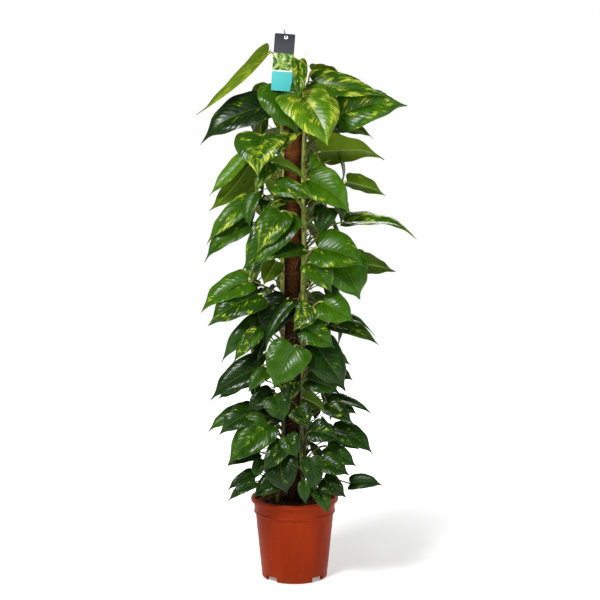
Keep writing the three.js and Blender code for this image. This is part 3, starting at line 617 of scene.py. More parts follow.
EARTH = (
    (0.0, srgb(30, 18, 12)),
    (0.35, srgb(66, 40, 25)),
    (0.65, srgb(110, 70, 45)),
    (1.0, srgb(156, 108, 72)),
)
FIBRE = (
    (0.0, srgb(70, 42, 26)),
    (0.5, srgb(124, 82, 50)),
    (1.0, srgb(176, 132, 88)),
)
COIR = (
    (0.0, srgb(56, 26, 10)),
    (0.35, srgb(124, 68, 28)),
    (0.7, srgb(172, 108, 50)),
    (1.0, srgb(212, 156, 92)),
)


def crumb_mix(name, stops, scale, depth, roughness=0.95):
    """A dull, grainy stuff whose pieces differ in tone, by their own number. Coir gets painted shade,
    darker low down.
    """
    shader = Shader(name, roughness=roughness, Specular_IOR_Level=0.2)
    grain = shader.noise(shader.place(), scale, 4, 0.65)
    patches = shader.noise(shader.place(), 34, 3)
    value = shader.number("tone") * 0.75 + (grain - 0.5) * 0.8 + (patches - 0.5) * 0.9
    colour = shader.ramp(value, *stops)
    # Painted shade on the coir: darker low down, between the leaves
    if stops is COIR:
        colour = gloomy(shader, colour, 0.82, 0.05, 0.5, 1.25)
    return shader.finish(colour, grain, depth)


def wood():
    """Sawn softwood, seen at the stake's top."""
    shader = Shader("stake_wood", roughness=0.75)
    kind = {"wave_type": "RINGS", "rings_direction": "Z"}
    rings = shader.value("TexWave", shader.place(), 130, 2.2, 2, output="Fac", **kind)
    grain = shader.noise(shader.stretched(700, 700, 60), 1.0, 3)
    colour = shader.mix(rings, srgb(150, 112, 70), srgb(196, 160, 112))
    colour = shader.mix(shader.span(grain, 0.5, 0.75, 0.0, 0.5), colour, srgb(112, 80, 50))
    return shader.finish(colour, grain, 0.0004)


DARK_FROM = 0.655
BLUE_TO = 0.335
LINE_AT = 0.345


def card_print():
    """Glossy card: a dark panel, a soft foliage panel and a turquoise panel, with nothing written."""
    shader = Shader("card_print", roughness=0.28)
    height, across = shader.number("height"), shader.number("across")
    leafy = shader.ramp(
        shader.noise(shader.vector(across, height * 3, 0.4), 5.0, 3),
        (0.36, srgb(30, 62, 26)),
        (0.48, srgb(84, 122, 44)),
        (0.58, srgb(150, 168, 84)),
        (0.68, srgb(206, 210, 196)),
    )
    dark = shader.mix(shader.span(height, 0.72, 1.0), srgb(50, 52, 58), srgb(34, 36, 41))
    blue = shader.mix(shader.span(height, 0.0, 0.33), srgb(52, 158, 158), srgb(70, 168, 166))
    colour = shader.mix(shader.math("GREATER_THAN", height, DARK_FROM), leafy, dark)
    colour = shader.mix(shader.math("LESS_THAN", height, BLUE_TO), colour, blue)
    line = shader.span(abs(height - LINE_AT), 0.004, 0.012, 1.0, 0.0)
    colour = shader.mix(line, colour, srgb(236, 238, 236))
    return shader.finish(colour, shader.noise(shader.place(), 500, 2), 0.00003)


def dull_plastic(name, colour, lighter):
    shader = Shader(name, roughness=0.45)
    streak = shader.noise(shader.stretched(300, 300, 40), 1.0, 3)
    return shader.finish(shader.mix(shader.span(streak, 0.3, 0.7), colour, lighter), streak, 0.0002)


# Blades: the outline runs by an angle from the sinus at the petiole to the tip
LOBE = 0.3
TAPER = 0.85
MIDRIB_LAG = 1.25
WAVE = 0.035
SWAY = 0.05
WIDEST = math.sin(1.0) * math.cos(0.5) ** TAPER
VEIN_LEAN = 0.34
VEIN_COUNT = 5.5
VEIN_SPACING = 24
HALF_THICK = 0.45
CUP = 0.045
RIPPLE = 0.018
DRIP_TIP = 0.66
TIP_CURL = 0.17
CURL_FROM = 0.55
CURL_SPAN = 0.45
MARGIN_ROLL = 0.09
GROOVE = 0.5
KEEL = 1.3
PUCKER = 0.27
BLADE_ROWS = 36
BLADE_COLUMNS = 10

# Single leaves of the plan that are darker or lighter than the rule for tones makes them, partly painted
# shade and light
TONE_SHIFTS = {
    0: 0.2,
    1: -0.5,
    2: 0.1,
    3: 0.15,
    7: -0.1,
    9: 0.1,
    15: -0.15,
    21: -0.25,
    26: -0.2,
    32: -0.2,
    47: 0.1,
    54: 0.25,
    59: -0.1,
}

# Petioles: they leave the stem below the blade, rise away from the pole and run into the midrib
PETIOLE_AIM = 1.0
PETIOLE_DROP = 20
PETIOLE_SLOPE = 0.35
PETIOLE_OUT = 0.25
PETIOLE_RISE = 0.35
PETIOLE_STEPS = 16
PETIOLE_SIDES = 8
LOWEST_NODE = SOIL_TOP + 25
TOP_BUD = 12

# Stems lean in to the pole above the soil and wander a little, in degrees, on their way up
LEAN_HEIGHT = 130
WANDER = 3.2
WANDER_TURNS = 21


def stem_point(vine, height):
    """The middle of a vine's stem at a height."""
    plan = VINES[vine]
    height = np.asarray(height, float)
    climbed = np.clip((height - SOIL_TOP) / (plan["top"] - SOIL_TOP), 0, 1)
    lean = smoothstep(height, SOIL_TOP, SOIL_TOP + LEAN_HEIGHT)
    radius = ROOT_RADIUS + (CLIMB_RADIUS - ROOT_RADIUS) * lean
    wander = WANDER * lean * np.sin(climbed * WANDER_TURNS + plan["azimuth"])
    return polar(radius, np.radians(plan["azimuth"] + plan["turn"] * climbed + wander), height)


class Leaf:
    """One leaf of the plan, with its axes and its petiole's route."""

    def __init__(self, index, row):
        self.index = index
        self.vine, *numbers = row
        self.base = np.array(numbers[0:3], float)
        self.width, azimuth, elevation, self.arch, fold, self.gold = numbers[6:12]
        along = np.array(numbers[3:6]) - self.base
        self.length = np.linalg.norm(along)
        self.along = along / self.length
        azimuth, elevation, self.fold = np.radians([azimuth, elevation, fold])
        flat = math.cos(elevation)
        normal = np.array([math.sin(azimuth) * flat, -math.cos(azimuth) * flat, math.sin(elevation)])
        self.normal = unit(normal - normal.dot(self.along) * self.along)
        self.across = np.cross(self.along, self.normal)
        self.curl = TIP_CURL * (0.2 + (index * 0.543) % 1)
        self.roll = MARGIN_ROLL * (0.2 + (index * 0.389) % 1)
        self.quilt = PUCKER * (0.2 + 1.3 * ((index * 0.611) % 1))

    def shape(self, angle, side):
        """Points of the middle surface, and how far along the midrib each one lies."""
        share = np.abs(side)
        rise = (1 - np.cos(angle)) / 2
        edge = rise - LOBE * np.sin(angle) * (1 + np.cos(angle)) / 2
        middle = rise ** MIDRIB_LAG
        forward = middle + (edge - middle) * share
        breadth = np.sin(angle) * np.cos(angle / 2) ** TAPER
        breadth = breadth * (1 - DRIP_TIP * smoothstep(rise, 0.74, 0.95))
        spread = side * self.width * breadth / (2 * WIDEST)
        bow = 4 * forward * (1 - forward) * self.length
        sway = SWAY * math.sin(self.index * 2.4) * bow
        turn = 3.1 * angle + self.index + 2 * side
        wave = WAVE * self.width * share ** 2 * np.sin(angle) * np.sin(turn)
        lift = self.arch * bow + np.abs(spread) * math.sin(self.fold) + wave
        lift = lift - self.roll * self.width * share ** 3 * np.sin(angle)
        lift = lift - self.curl * self.length * np.clip((forward - CURL_FROM) / CURL_SPAN, 0, 1) ** 2
        lift = lift + CUP * self.width * breadth * np.sin(math.pi * share)
        flutter = np.sin(11 * angle + 5 * self.index + 4 * side)
        lift = lift + RIPPLE * self.width * share ** 3 * np.sin(angle) * flutter
        places = (
            self.base
            + self.along * (forward * self.length)[..., None]
            + self.across * (spread * math.cos(self.fold) + sway)[..., None]
            + self.normal * lift[..., None]
        )
        return places, forward

    def petiole(self):
        wanted = self.base[2] - PETIOLE_DROP - PETIOLE_SLOPE * math.hypot(*self.base[:2])
        top = VINES[self.vine]["top"] - TOP_BUD
        start = stem_point(self.vine, min(max(wanted, LOWEST_NODE), top))
        span = np.linalg.norm(start - self.base)
        out = unit(self.base * [1, 1, 0])
        rise = start + out * PETIOLE_OUT * span + [0, 0, PETIOLE_RISE * span]
        aim = self.shape(np.array([PETIOLE_AIM]), np.array([0.0]))[0][0]
        ahead = self.base - (aim - self.base)
        t = np.linspace(0, 1, PETIOLE_STEPS)[:, None]
        leaving = (1 - t) ** 3 * start + 3 * (1 - t) ** 2 * t * rise
        return leaving + 3 * (1 - t) * t ** 2 * ahead + t ** 3 * self.base

    def tone(self):
        """How light the green is: leaves low on the plant are darker, partly their own green and partly
        painted shade, and single ones differ.
        """
        height = smoothstep(self.base[2], 200, 1300)
        stray = (self.index * 0.377) % 1
        return 0.04 + 0.44 * height + 0.42 * stray ** 1.3 + TONE_SHIFTS.get(self.index, 0)


def merged_ends(grid):
    """A blade's grid of points or numbers, whose first and last row are one point each."""
    inner = grid[1:-1].reshape(-1, *grid.shape[2:])
    return np.concatenate([grid[:1, BLADE_COLUMNS], inner, grid[-1:, BLADE_COLUMNS]])


def add_blade(surface, leaf):
    """Both faces of one blade, with the midrib's groove above and its keel below, and its rim."""
    half = np.linspace(0, 1, BLADE_COLUMNS + 1) ** 1.25
    sides = np.concatenate([-half[:0:-1], half])[None, :]
    angle, side = np.broadcast_arrays(np.linspace(0, math.pi, BLADE_ROWS)[:, None], sides)
    middle, forward = leaf.shape(angle, side)
    share = np.abs(side)
    normal = np.cross(np.gradient(middle, axis=0), np.gradient(middle, axis=1))
    normal[0] = normal[1]
    normal[-1] = normal[-2]
    normal = unit(normal)
    normal *= np.sign((normal * leaf.normal).sum(-1, keepdims=True))
    vein_count = VEIN_COUNT + leaf.width / VEIN_SPACING
    vein = vein_count * (forward - VEIN_LEAN * share ** 1.2) + leaf.index * 0.37
    room = np.sin(angle) * (1 - share ** 4) * share ** 0.5
    pucker = -leaf.quilt * np.cos(2 * math.pi * vein) * room
    thick = HALF_THICK * (1 - 0.65 * share ** 3)
    upper = thick + pucker - GROOVE * bell(share, 0.05) * np.sin(angle)
    keel = KEEL * bell(share, 0.055) * (1 - np.clip(forward, 0, 1)) ** 0.8
    lower = -thick + pucker - keel
    columns = side.shape[1]
    first_row = np.arange(columns) + 1
    end_row = first_row + (BLADE_ROWS - 3) * columns
    last = end_row[-1] + 1
    fan = np.stack([np.zeros(columns - 1, int), first_row[1:], first_row[:-1]], 1)
    close = np.stack([np.full(columns - 1, last), end_row[:-1], end_row[1:]], 1)
    faces = [grid_faces(BLADE_ROWS - 2, columns, 1), fan, close]
    values = {"vein": merged_ends(vein), "side": merged_ends(side), "along": merged_ends(forward)}
    values.update(leaf=(leaf.index * GOLDEN) % 1, gold=leaf.gold, tone=leaf.tone())
    surface.add(merged_ends(middle + normal * upper[..., None]), faces, 0, **values)
    turned_over = [group[:, ::-1] for group in faces]
    surface.add(merged_ends(middle + normal * lower[..., None]), turned_over, 1, **values)
    each = last + 1
    for column, step in ((0, -1), (-1, 1)):
        down = first_row[column] + np.arange(BLADE_ROWS - 2) * columns
        edge = np.concatenate([[0], down, [last]]) + surface.count - each
        quads = np.stack([edge[:-1], edge[1:], edge[1:] - each, edge[:-1] - each], 1)
        surface.join(quads[:, ::step], 1)


def add_petiole(surface, leaf):
    share = np.linspace(0, 1, PETIOLE_STEPS)
    thick = 1.7 + 0.01 * leaf.width
    radii = thick * (1.5 - 0.6 * smoothstep(share, 0, 0.22) + 0.22 * bell(share - 0.93, 0.05))
    along = np.repeat(share, PETIOLE_SIDES)
    # Painted shade: petioles are darker towards the stem, deep in the foliage; the rest differs from leaf
    # to leaf
    tone = 0.12 + 0.35 * along ** 2 + 0.3 * ((leaf.index * 0.731) % 1)
    surface.add(*tube(leaf.petiole(), radii, PETIOLE_SIDES), scar=0.8 * bell(along, 0.05), tone=tone)


NODE_STEP = 58
STEM_SIDES = 14
ROOT_LENGTH = 26
OLD_STALK_STEP = 17
OLD_STALK_REACH = (40, 105)
BUD_LENGTH = 52


def add_stem(surface, vine):
    """The climbing stem with a ring at each node, and the roots that hold it to the pole."""
    top = VINES[vine]["top"]
    heights = np.linspace(SOIL_TOP - 25, top, 220)
    path = stem_point(vine, heights)
    place = (heights - SOIL_TOP) / NODE_STEP
    ring = bell(np.abs(place - np.round(place)), 0.07)
    end = 1 - 0.45 * smoothstep(heights, top - 260, top)
    radii = STEM_RADIUS * end * (0.9 + 0.14 * ring)
    scar = np.repeat(ring * (1 - 0.6 * smoothstep(heights, top - 400, top)), STEM_SIDES)
    surface.add(*tube(path, radii, STEM_SIDES), scar=scar, tone=0.75)
    for node in range(1, int((top - SOIL_TOP) / NODE_STEP)):
        for turn in (-1, 1):
            add_root(surface, vine, SOIL_TOP + node * NODE_STEP + rng.uniform(-4, 4), turn)
    add_bud(surface, path[-1], unit(path[-1] - path[-6]), radii[-1])


def add_root(surface, vine, height, turn):
    """A short root from the stem's side, round the pole's skin and down."""
    stem = stem_point(vine, height)
    azimuth = math.atan2(stem[1], stem[0])
    reach = rng.uniform(0.5, 1.2) * ROOT_LENGTH
    steps = np.linspace(0, 1, 7)
    angle = azimuth + turn * (0.1 + reach * steps / POLE_RADIUS * 0.8)
    radius = CLIMB_RADIUS - 3 + (POLE_RADIUS + 0.8 - CLIMB_RADIUS + 3) * smoothstep(steps, 0, 0.5)
    path = polar(radius, angle, height - rng.uniform(2, 14) * steps ** 2)
    surface.add(*tube(path, 1.1 * (1 - 0.6 * steps), 5), 1)


def add_old_stalks(surface, vine):
    """Stalks without a leaf, and roots in the air, painted dark for the shade in the gaps: they leave the
    stem between the leaves.
    """
    steps = np.linspace(0, 1, 10)[:, None]
    for height in np.arange(SOIL_TOP + 60, VINES[vine]["top"] - 130, OLD_STALK_STEP):
        start = stem_point(vine, height + rng.uniform(-8, 8))
        azimuth = math.atan2(start[1], start[0]) + rng.normal(0, 0.9)
        out = np.array([math.cos(azimuth), math.sin(azimuth), 0.0])
        reach, rise, drop = rng.uniform(*OLD_STALK_REACH), rng.uniform(0.2, 1.1), rng.uniform(0.1, 0.9)
        lift = (rise * steps - drop * steps ** 2.4) * [0, 0, 1]
        radii = rng.uniform(1.2, 2.1) * (1 - 0.45 * steps[:, 0])
        path = start + reach * (out * steps ** 0.9 + lift)
        # Their low tone is painted shade
        surface.add(*tube(path, radii, 6), scar=0.5, tone=rng.uniform(0.0, 0.3))


def add_bud(surface, foot, heading, radius):
    """The rolled new leaf that ends a stem."""
    steps = np.linspace(0, 1, 12)[:, None]
    bend = np.array([0.12, -0.3, 0.0])
    path = foot + (heading + bend * steps) * BUD_LENGTH * steps
    radii = radius * np.interp(steps[:, 0], [0, 0.15, 0.5, 1], [1, 0.75, 0.7, 0.08])
    surface.add(*tube(path, radii, 10), tone=0.95)


def make_vines():
    rows = [*LEAVES, *(back_leaf(index) for index in range(BACK_COUNT))]
    leaves = [Leaf(index, row) for index, row in enumerate(rows)]
    blade_materials = [blade_top(), blade_under()]
    stem_materials = [stem_skin(), root_skin()]
    for vine in VINES:
        word = vine.split("_")[1]
        blades = Surface(*BLADE_CHANNELS)
        stems = Surface("scar", "tone")
        add_stem(stems, vine)
        add_old_stalks(stems, vine)
        for leaf in leaves:
            if leaf.vine == vine:
                add_blade(blades, leaf)
                add_petiole(stems, leaf)
        blades.piece("blades_" + word, blade_materials, vine, "foliage", 50)
        stems.piece("stems_" + word, stem_materials, vine, "foliage", 60)


# Pot
POT_SIDES = 144
RECESS_SIDES = 96
DRAIN_RADIUS = 7


def body_radius(height):
    return BODY_BASE_RADIUS + (BODY_TOP_RADIUS - BODY_BASE_RADIUS) * height / (POT_HEIGHT - COLLAR_DROP)


def softened(profile, radius):
    """A profile whose corners are rounded, each within half of its shorter side."""
    profile = np.array(profile, float)
    points = [profile[0]]
    for before, corner, after in zip(profile[:-2], profile[1:-1], profile[2:]):
        back, ahead = before - corner, after - corner
        cut = min(radius, 0.45 * np.linalg.norm(back), 0.45 * np.linalg.norm(ahead))
        start, end = corner + unit(back) * cut, corner + unit(ahead) * cut
        for t in np.linspace(0, 1, 5):
            points.append((1 - t) ** 2 * start + 2 * t * (1 - t) * corner + t ** 2 * end)
    return np.array([*points, profile[-1]])


def turned(profile, sides):
    """Points and faces of a closed solid turned about Z. The profile starts and ends on the axis."""
    inner = np.asarray(profile)[1:-1]
    rings = polar(inner[:, :1], turns(sides)[None], inner[:, 1:]).reshape(-1, 3)
    points = np.concatenate([[[0, 0, profile[0][1]]], rings, [[0, 0, profile[-1][1]]]])
    first = np.arange(sides)
    beside = (first + 1) % sides
    end = 1 + (len(inner) - 1) * sides
    low = np.stack([np.zeros(sides, int), beside + 1, first + 1], 1)
    high = np.stack([np.full(sides, len(points) - 1), end + first, end + beside], 1)
    return points, [grid_faces(len(inner), sides, 1, around=True), low, high]


def cutter(points, faces):
    """A solid to cut with."""
    surface = Surface()
    surface.add(points, faces)
    return linked("cutter", surface.mesh("cutter"))


def cut(piece, cutters):
    """Cuts solids from a piece and leaves the result as its plain mesh."""
    for tool in cutters:
        modifier = piece.modifiers.new("cut", "BOOLEAN")
        modifier.operation = "DIFFERENCE"
        modifier.solver = "EXACT"
        modifier.object = tool
    evaluated = piece.evaluated_get(bpy.context.evaluated_depsgraph_get())
    made = bpy.data.meshes.new_from_object(evaluated)
    piece.modifiers.clear()
    piece.data = made
    for tool in cutters:
        bpy.data.objects.remove(tool)
    made.shade_smooth()
    made.set_sharp_from_angle(angle=math.radians(32))


def ring_faces(around, corners):
    """Quads of a closed ring whose section has that many corners."""
    i = np.arange(around)[:, None] * corners
    beside = (np.arange(around)[:, None] + 1) % around * corners
    j = np.arange(corners)[None]
    k = (j + 1) % corners
    return np.stack([i + j, beside + j, beside + k, i + k], -1).reshape(-1, 4)


def make_pot():
    """The pot with a rolled rim, a collar, a ridge, a foot step, four foot segments and drain holes."""
    collar = POT_HEIGHT - COLLAR_DROP
    rim = POT_HEIGHT - RIM_DROP
    profile = [
        (0, 0),
        (BODY_BASE_RADIUS - 3, 0),
        (body_radius(3), 3),
        (body_radius(9), 9),
        (body_radius(10.5) - 0.7, 10.5),
        (body_radius(12), 12),
        (body_radius(collar - 8), collar - 8),
        (body_radius(collar), collar),
        (COLLAR_RADIUS + 1.5, collar + 1),
        (COLLAR_RADIUS + 1.5, collar + 4),
        (COLLAR_RADIUS, collar + 6),
        (COLLAR_RADIUS + 1.5, rim),
        (RIM_RADIUS - 1, rim - 0.6),
        (RIM_RADIUS, rim + 1),
        (RIM_RADIUS, POT_HEIGHT - 3),
        (RIM_RADIUS - 3, POT_HEIGHT),
        (RIM_RADIUS - 8, POT_HEIGHT),
        (RIM_RADIUS - 9.5, POT_HEIGHT - 4),
        (body_radius(FLOOR_TOP) - POT_WALL, FLOOR_TOP),
        (0, FLOOR_TOP),
    ]
    surface = Surface()
    surface.add(*turned(softened(profile, POT_WALL), POT_SIDES))
    pot = surface.piece("pot_shell", [pot_plastic()], "pot", "pot", 32)
    recess = [(18, -1), (BODY_BASE_RADIUS - 7, -1), (BODY_BASE_RADIUS - 9, FOOT_HEIGHT), (20, FOOT_HEIGHT)]
    ring = [[r * math.cos(a), r * math.sin(a), z] for a in turns(RECESS_SIDES) for r, z in recess]
    cutters = [cutter(ring, ring_faces(RECESS_SIDES, len(recess)))]
    notch_width = 2 * BODY_BASE_RADIUS * math.sin(math.radians((90 - FOOT_SPAN) / 2))
    notch = BOX_CORNERS / 2 * (40, notch_width, 2 * FOOT_HEIGHT) + (BODY_BASE_RADIUS, 0, 0)
    bottom, top = FLOOR_TOP - 10, FLOOR_TOP + 10
    drain, drain_faces = turned([(0, bottom), (DRAIN_RADIUS, bottom), (DRAIN_RADIUS, top), (0, top)], 32)
    drain = drain + (BODY_BASE_RADIUS - 22, 0, 0)
    for quarter in range(4):
        turn = rotation(45 + 90 * quarter, "Z")
        cutters.append(cutter(notch @ turn, BOX_FACES))
        cutters.append(cutter(drain @ turn, drain_faces))
    cut(pot, cutters)


# Soil
SOIL_EDGE = body_radius(SOIL_TOP) - POT_WALL - 2
SOIL_RINGS = 44
SOIL_SIDES = 150
SOIL_CHIPS = 950
SOIL_FIBRES = 800


def soil_height(x, y):
    """The smooth surface under the crumbs: a low crown with mounds that fade out at the edge."""
    distance = np.hypot(x, y)
    turn = np.arctan2(y, x)
    mound = 2.5 * np.sin(5 * turn + distance / 9) + 1.5 * np.cos(3 * turn - distance / 7)
    share = distance / SOIL_EDGE
    crown = np.interp(share, [0, 0.35, 0.7, 0.93, 1], [2, 2, 4, 1, -4])
    return SOIL_TOP + crown + mound * smoothstep(share, 1.0, 0.9)


def make_soil():
    """Potting mix: a rough top with bark chips, crumbs and fibres, and a plain body in the pot."""
    surface = Surface("tone")
    radii = np.linspace(0.02, 1, SOIL_RINGS)[:, None] * SOIL_EDGE
    turn = turns(SOIL_SIDES)[None]
    x, y = radii * np.cos(turn), radii * np.sin(turn)
    top = np.stack([x, y, soil_height(x, y)], -1).reshape(-1, 3)
    bumps = 2.6 * rough(top, 0.11, 3) + 1.6 * rough(top, 0.33, 8)
    top[:, 2] += bumps * np.repeat(np.linspace(1, 0.2, SOIL_RINGS) ** 0.5, SOIL_SIDES)
    foot = polar(body_radius(FLOOR_TOP) - POT_WALL - GAP - 1, turn, FLOOR_TOP + GAP)
    points = np.concatenate([top, foot.reshape(-1, 3)])
    faces = [grid_faces(SOIL_RINGS + 1, SOIL_SIDES, around=True)[:, ::-1]]
    faces.append(np.arange(SOIL_SIDES)[None])
    faces.append(np.arange(SOIL_SIDES)[None, ::-1] + SOIL_RINGS * SOIL_SIDES)
    surface.add(points, faces, 0, tone=0.25 + 0.3 * rough(points, 0.2, 5))
    add_chips(surface)
    add_soil_fibres(surface)
    earth = crumb_mix("soil_crumbs", EARTH, 260, 0.0015)
    fibre = crumb_mix("soil_fibre", FIBRE, 300, 0.0004, 0.85)
    surface.piece("soil_top", [earth, fibre], "soil", "soil", 50)


def add_chips(surface):
    """Bark chips and crumbs, laid at random over the soil."""
    for _ in range(SOIL_CHIPS):
        radius = SOIL_EDGE * math.sqrt(rng.uniform(0.08, 0.94))
        angle = rng.uniform(0, 2 * math.pi)
        x, y = radius * math.cos(angle), radius * math.sin(angle)
        size = rng.uniform(1.2, 3.4) * np.array([1, rng.uniform(0.5, 0.9), rng.uniform(0.25, 0.6)])
        turn = Matrix.Rotation(rng.uniform(0, 6.28), 3, "Z") @ Matrix.Rotation(rng.normal(0, 0.5), 3, "X")
        shape = BOX_CORNERS * size * rng.uniform(0.6, 1.15, (8, 1))
        shape = shape @ np.array(turn).T + [x, y, float(soil_height(x, y)) + rng.uniform(0, 2.2)]
        surface.add(shape, BOX_FACES, 0, tone=rng.uniform(0.1, 1.0))


def add_soil_fibres(surface):
    count = SOIL_FIBRES
    radius = SOIL_EDGE * np.sqrt(rng.uniform(0.06, 0.97, count))
    angle = rng.uniform(0, 2 * math.pi, count)
    heading = rng.uniform(0, 2 * math.pi, count)[:, None]
    reach = rng.uniform(5, 15, count)[:, None]
    heading = heading + rng.normal(0, 0.6, count)[:, None] * FIBRE_STEPS
    x = (radius * np.cos(angle))[:, None] + reach * FIBRE_STEPS * np.cos(heading)
    y = (radius * np.sin(angle))[:, None] + reach * FIBRE_STEPS * np.sin(heading)
    inside = np.minimum(1, (SOIL_EDGE - 2) / np.hypot(x, y))
    x, y = x * inside, y * inside
    z = soil_height(x, y) + 1.5 + rng.uniform(0, 3.5, (count, 1)) * (1 - FIBRE_STEPS ** 2)
    points, faces, tone = strands(np.stack([x, y, z], -1), rng.uniform(0.25, 0.55, count))
    surface.add(points, faces, 1, tone=tone)


# Pole
POLE_RINGS = 430
POLE_SIDES = 64
POLE_FIBRES = 4200


def painted_stem_shadow(points):
    """Painted shadow of the stems on the sleeve: 1 where a stem lies on it, down to 0 away from all stems.
    """
    azimuth = np.arctan2(points[:, 1], points[:, 0])
    most = np.zeros(len(points))
    for vine, plan in VINES.items():
        stem = stem_point(vine, points[:, 2])
        apart = (azimuth - np.arctan2(stem[:, 1], stem[:, 0]) + math.pi) % (2 * math.pi) - math.pi
        most = np.maximum(most, bell(apart, 0.42) * (points[:, 2] < plan["top"]))
    return most


def make_pole():
    """The coir sleeve: a rough felt of fibres round the stake."""
    surface = Surface("tone")
    turn = turns(POLE_SIDES)
    z = np.repeat(np.linspace(SOIL_TOP - 20, POLE_TOP - 6, POLE_RINGS), POLE_SIDES)
    angle = np.tile(turn, POLE_RINGS)
    flat = polar(POLE_RADIUS - 0.5, angle, z)
    felt = 0.9 * rough(flat * [1, 1, 0.6], 0.16, 21) + 0.6 * rough(flat, 0.5, 9)
    points = polar(POLE_RADIUS - 1.3 + felt, angle, z)
    cap = [
        (POLE_RADIUS - 3, POLE_TOP - 2),
        (POLE_RADIUS - 7, POLE_TOP - 0.5),
        (CORE_RADIUS + GAP, POLE_TOP - 2),
    ]
    for radius, height in cap:
        bumps = [0, 0, 0.8] * rng.uniform(-1, 1, (POLE_SIDES, 1))
        points = np.concatenate([points, polar(radius, turn, height) + bumps])
    faces = grid_faces(POLE_RINGS + len(cap), POLE_SIDES, around=True)
    # Painted shadow: the sleeve's tone is darker where the stems lie on it
    surface.add(points, faces, 0, tone=0.38 + 0.3 * rough(points, 0.3, 2) - 0.5 * painted_stem_shadow(points))
    add_sleeve_fibres(surface)
    felt = crumb_mix("coir_felt", COIR, 240, 0.002)
    fibre = crumb_mix("coir_fibre", COIR, 500, 0.0004, 0.8)
    surface.piece("pole_sleeve", [felt, fibre], "pole_coir", "coir", 60)


def add_sleeve_fibres(surface):
    count = POLE_FIBRES
    middle = rng.uniform(0, 2 * math.pi, count)[:, None]
    height = rng.uniform(SOIL_TOP + 4, POLE_TOP - 4, count)[:, None]
    reach = rng.uniform(6, 26, count)[:, None]
    slant = rng.normal(0.25, 0.7, count)[:, None]
    slope = slant + rng.normal(0, 0.5, count)[:, None] * FIBRE_STEPS
    around = middle + reach * FIBRE_STEPS * np.cos(slope) / POLE_RADIUS
    z = np.clip(height + reach * FIBRE_STEPS * np.sin(slope), SOIL_TOP, POLE_TOP - 2)
    lying = POLE_RADIUS - 1.2 + rng.uniform(0, 0.9, (count, 1))
    out = lying + rng.uniform(0, 1.6, (count, 1)) * FIBRE_STEPS ** 2
    points, faces, tone = strands(polar(out, around, z), rng.uniform(0.18, 0.42, count))
    # Painted shadow: fibres beside the stems are darker too
    surface.add(points, faces, 1, tone=tone + 0.1 - 0.5 * painted_stem_shadow(points))


def make_stake():
    surface = Surface()
    foot, top = FLOOR_TOP + GAP, POLE_TOP - 4
    profile = [(0, foot), (CORE_RADIUS, foot), (CORE_RADIUS, top - 1), (CORE_RADIUS - 1, top), (0, top)]
    surface.add(*turned(profile, 48))
    surface.piece("stake", [wood()], "pole_core", "stake", 32)


# Label: the card's corners and its middle are placed from its hole
STICK_POINTS = [
    (0, 0, POLE_TOP - 55),
    (0, 0, POLE_TOP - 28),
    (0, 0, POLE_TOP - 2),
    (-3, -6, POLE_TOP + 22),
    (-11, -21, POLE_TOP + 46),
    (-20, -37, POLE_TOP + 73),
    (-27, -50, POLE_TOP + 98),
]
CARD_HOLE_AT = 0.87
CARD_HOLE_RADIUS = 3.4
CARD_HOLE_RING = 1.6
CARD_LEAN = -19
CARD_TURN = 4
CARD_MIDDLE = -3
CARD_ABOVE = 10
CARD_CORNER = 3.0
CARD_SIDES = 96


def through(points):
    """A smooth route through the points."""
    points = np.array(points, float)
    padded = np.concatenate([[2 * points[0] - points[1]], points, [2 * points[-1] - points[-2]]])
    route = []
    for before, start, end, after in zip(padded[:-3], padded[1:-2], padded[2:-1], padded[3:]):
        for t in np.linspace(0, 1, 12, endpoint=False):
            pull = (end - before) * (t - 2 * t ** 2 + t ** 3) / 2 + (after - start) * (t ** 3 - t ** 2) / 2
            route.append(start + (end - start) * (3 * t ** 2 - 2 * t ** 3) + pull)
    return np.array([*route, points[-1]])


def make_label():
    """A card with rounded corners and a hole with a pale ring, hung on its bent stick."""
    route = through(STICK_POINTS)
    surface = Surface()
    radii = STICK_RADIUS * np.where(np.arange(len(route)) > len(route) - 4, 0.8, 1)
    surface.add(*tube(route, radii, 16))
    stick = dull_plastic("stick_plastic", srgb(42, 44, 48), srgb(62, 64, 70))
    surface.piece("stick", [stick], "label_stick", "stick", 50)
    lengths = np.concatenate([[0], np.cumsum(np.linalg.norm(np.diff(route, axis=0), axis=1))])
    hole = np.array([np.interp(CARD_HOLE_AT * lengths[-1], lengths, route[:, axis]) for axis in range(3)])
    turn = Matrix.Rotation(math.radians(CARD_TURN), 3, "Y")
    turn = turn @ Matrix.Rotation(math.radians(CARD_LEAN), 3, "X")
    card = Surface("height", "across")
    add_card(card)
    card.points = [points @ np.array(turn).T + hole for points in card.points]
    rim = dull_plastic("hole_ring", srgb(232, 234, 232), srgb(244, 245, 244))
    back = dull_plastic("card_back", srgb(206, 208, 204), srgb(216, 218, 214))
    card.piece("care_card", [card_print(), rim, back], "label_card", "card", 30)


def card_outline(direction, low, high):
    """Where each direction from the hole meets the card's edge, whose corners are round."""
    with np.errstate(divide="ignore"):
        reach = np.where(direction > 0, high, low) / direction
    edge = direction * np.where(np.abs(direction) > 1e-9, reach, 1e9).min(1, keepdims=True)
    for sign_x, limit_x in ((1, high[0]), (-1, low[0])):
        for sign_z, limit_z in ((1, high[1]), (-1, low[1])):
            middle = np.array([limit_x - sign_x * CARD_CORNER, limit_z - sign_z * CARD_CORNER])
            beyond = ((edge - middle) * [sign_x, sign_z] > 0).all(1)
            edge[beyond] = middle + unit(edge[beyond] - middle) * CARD_CORNER
    return edge


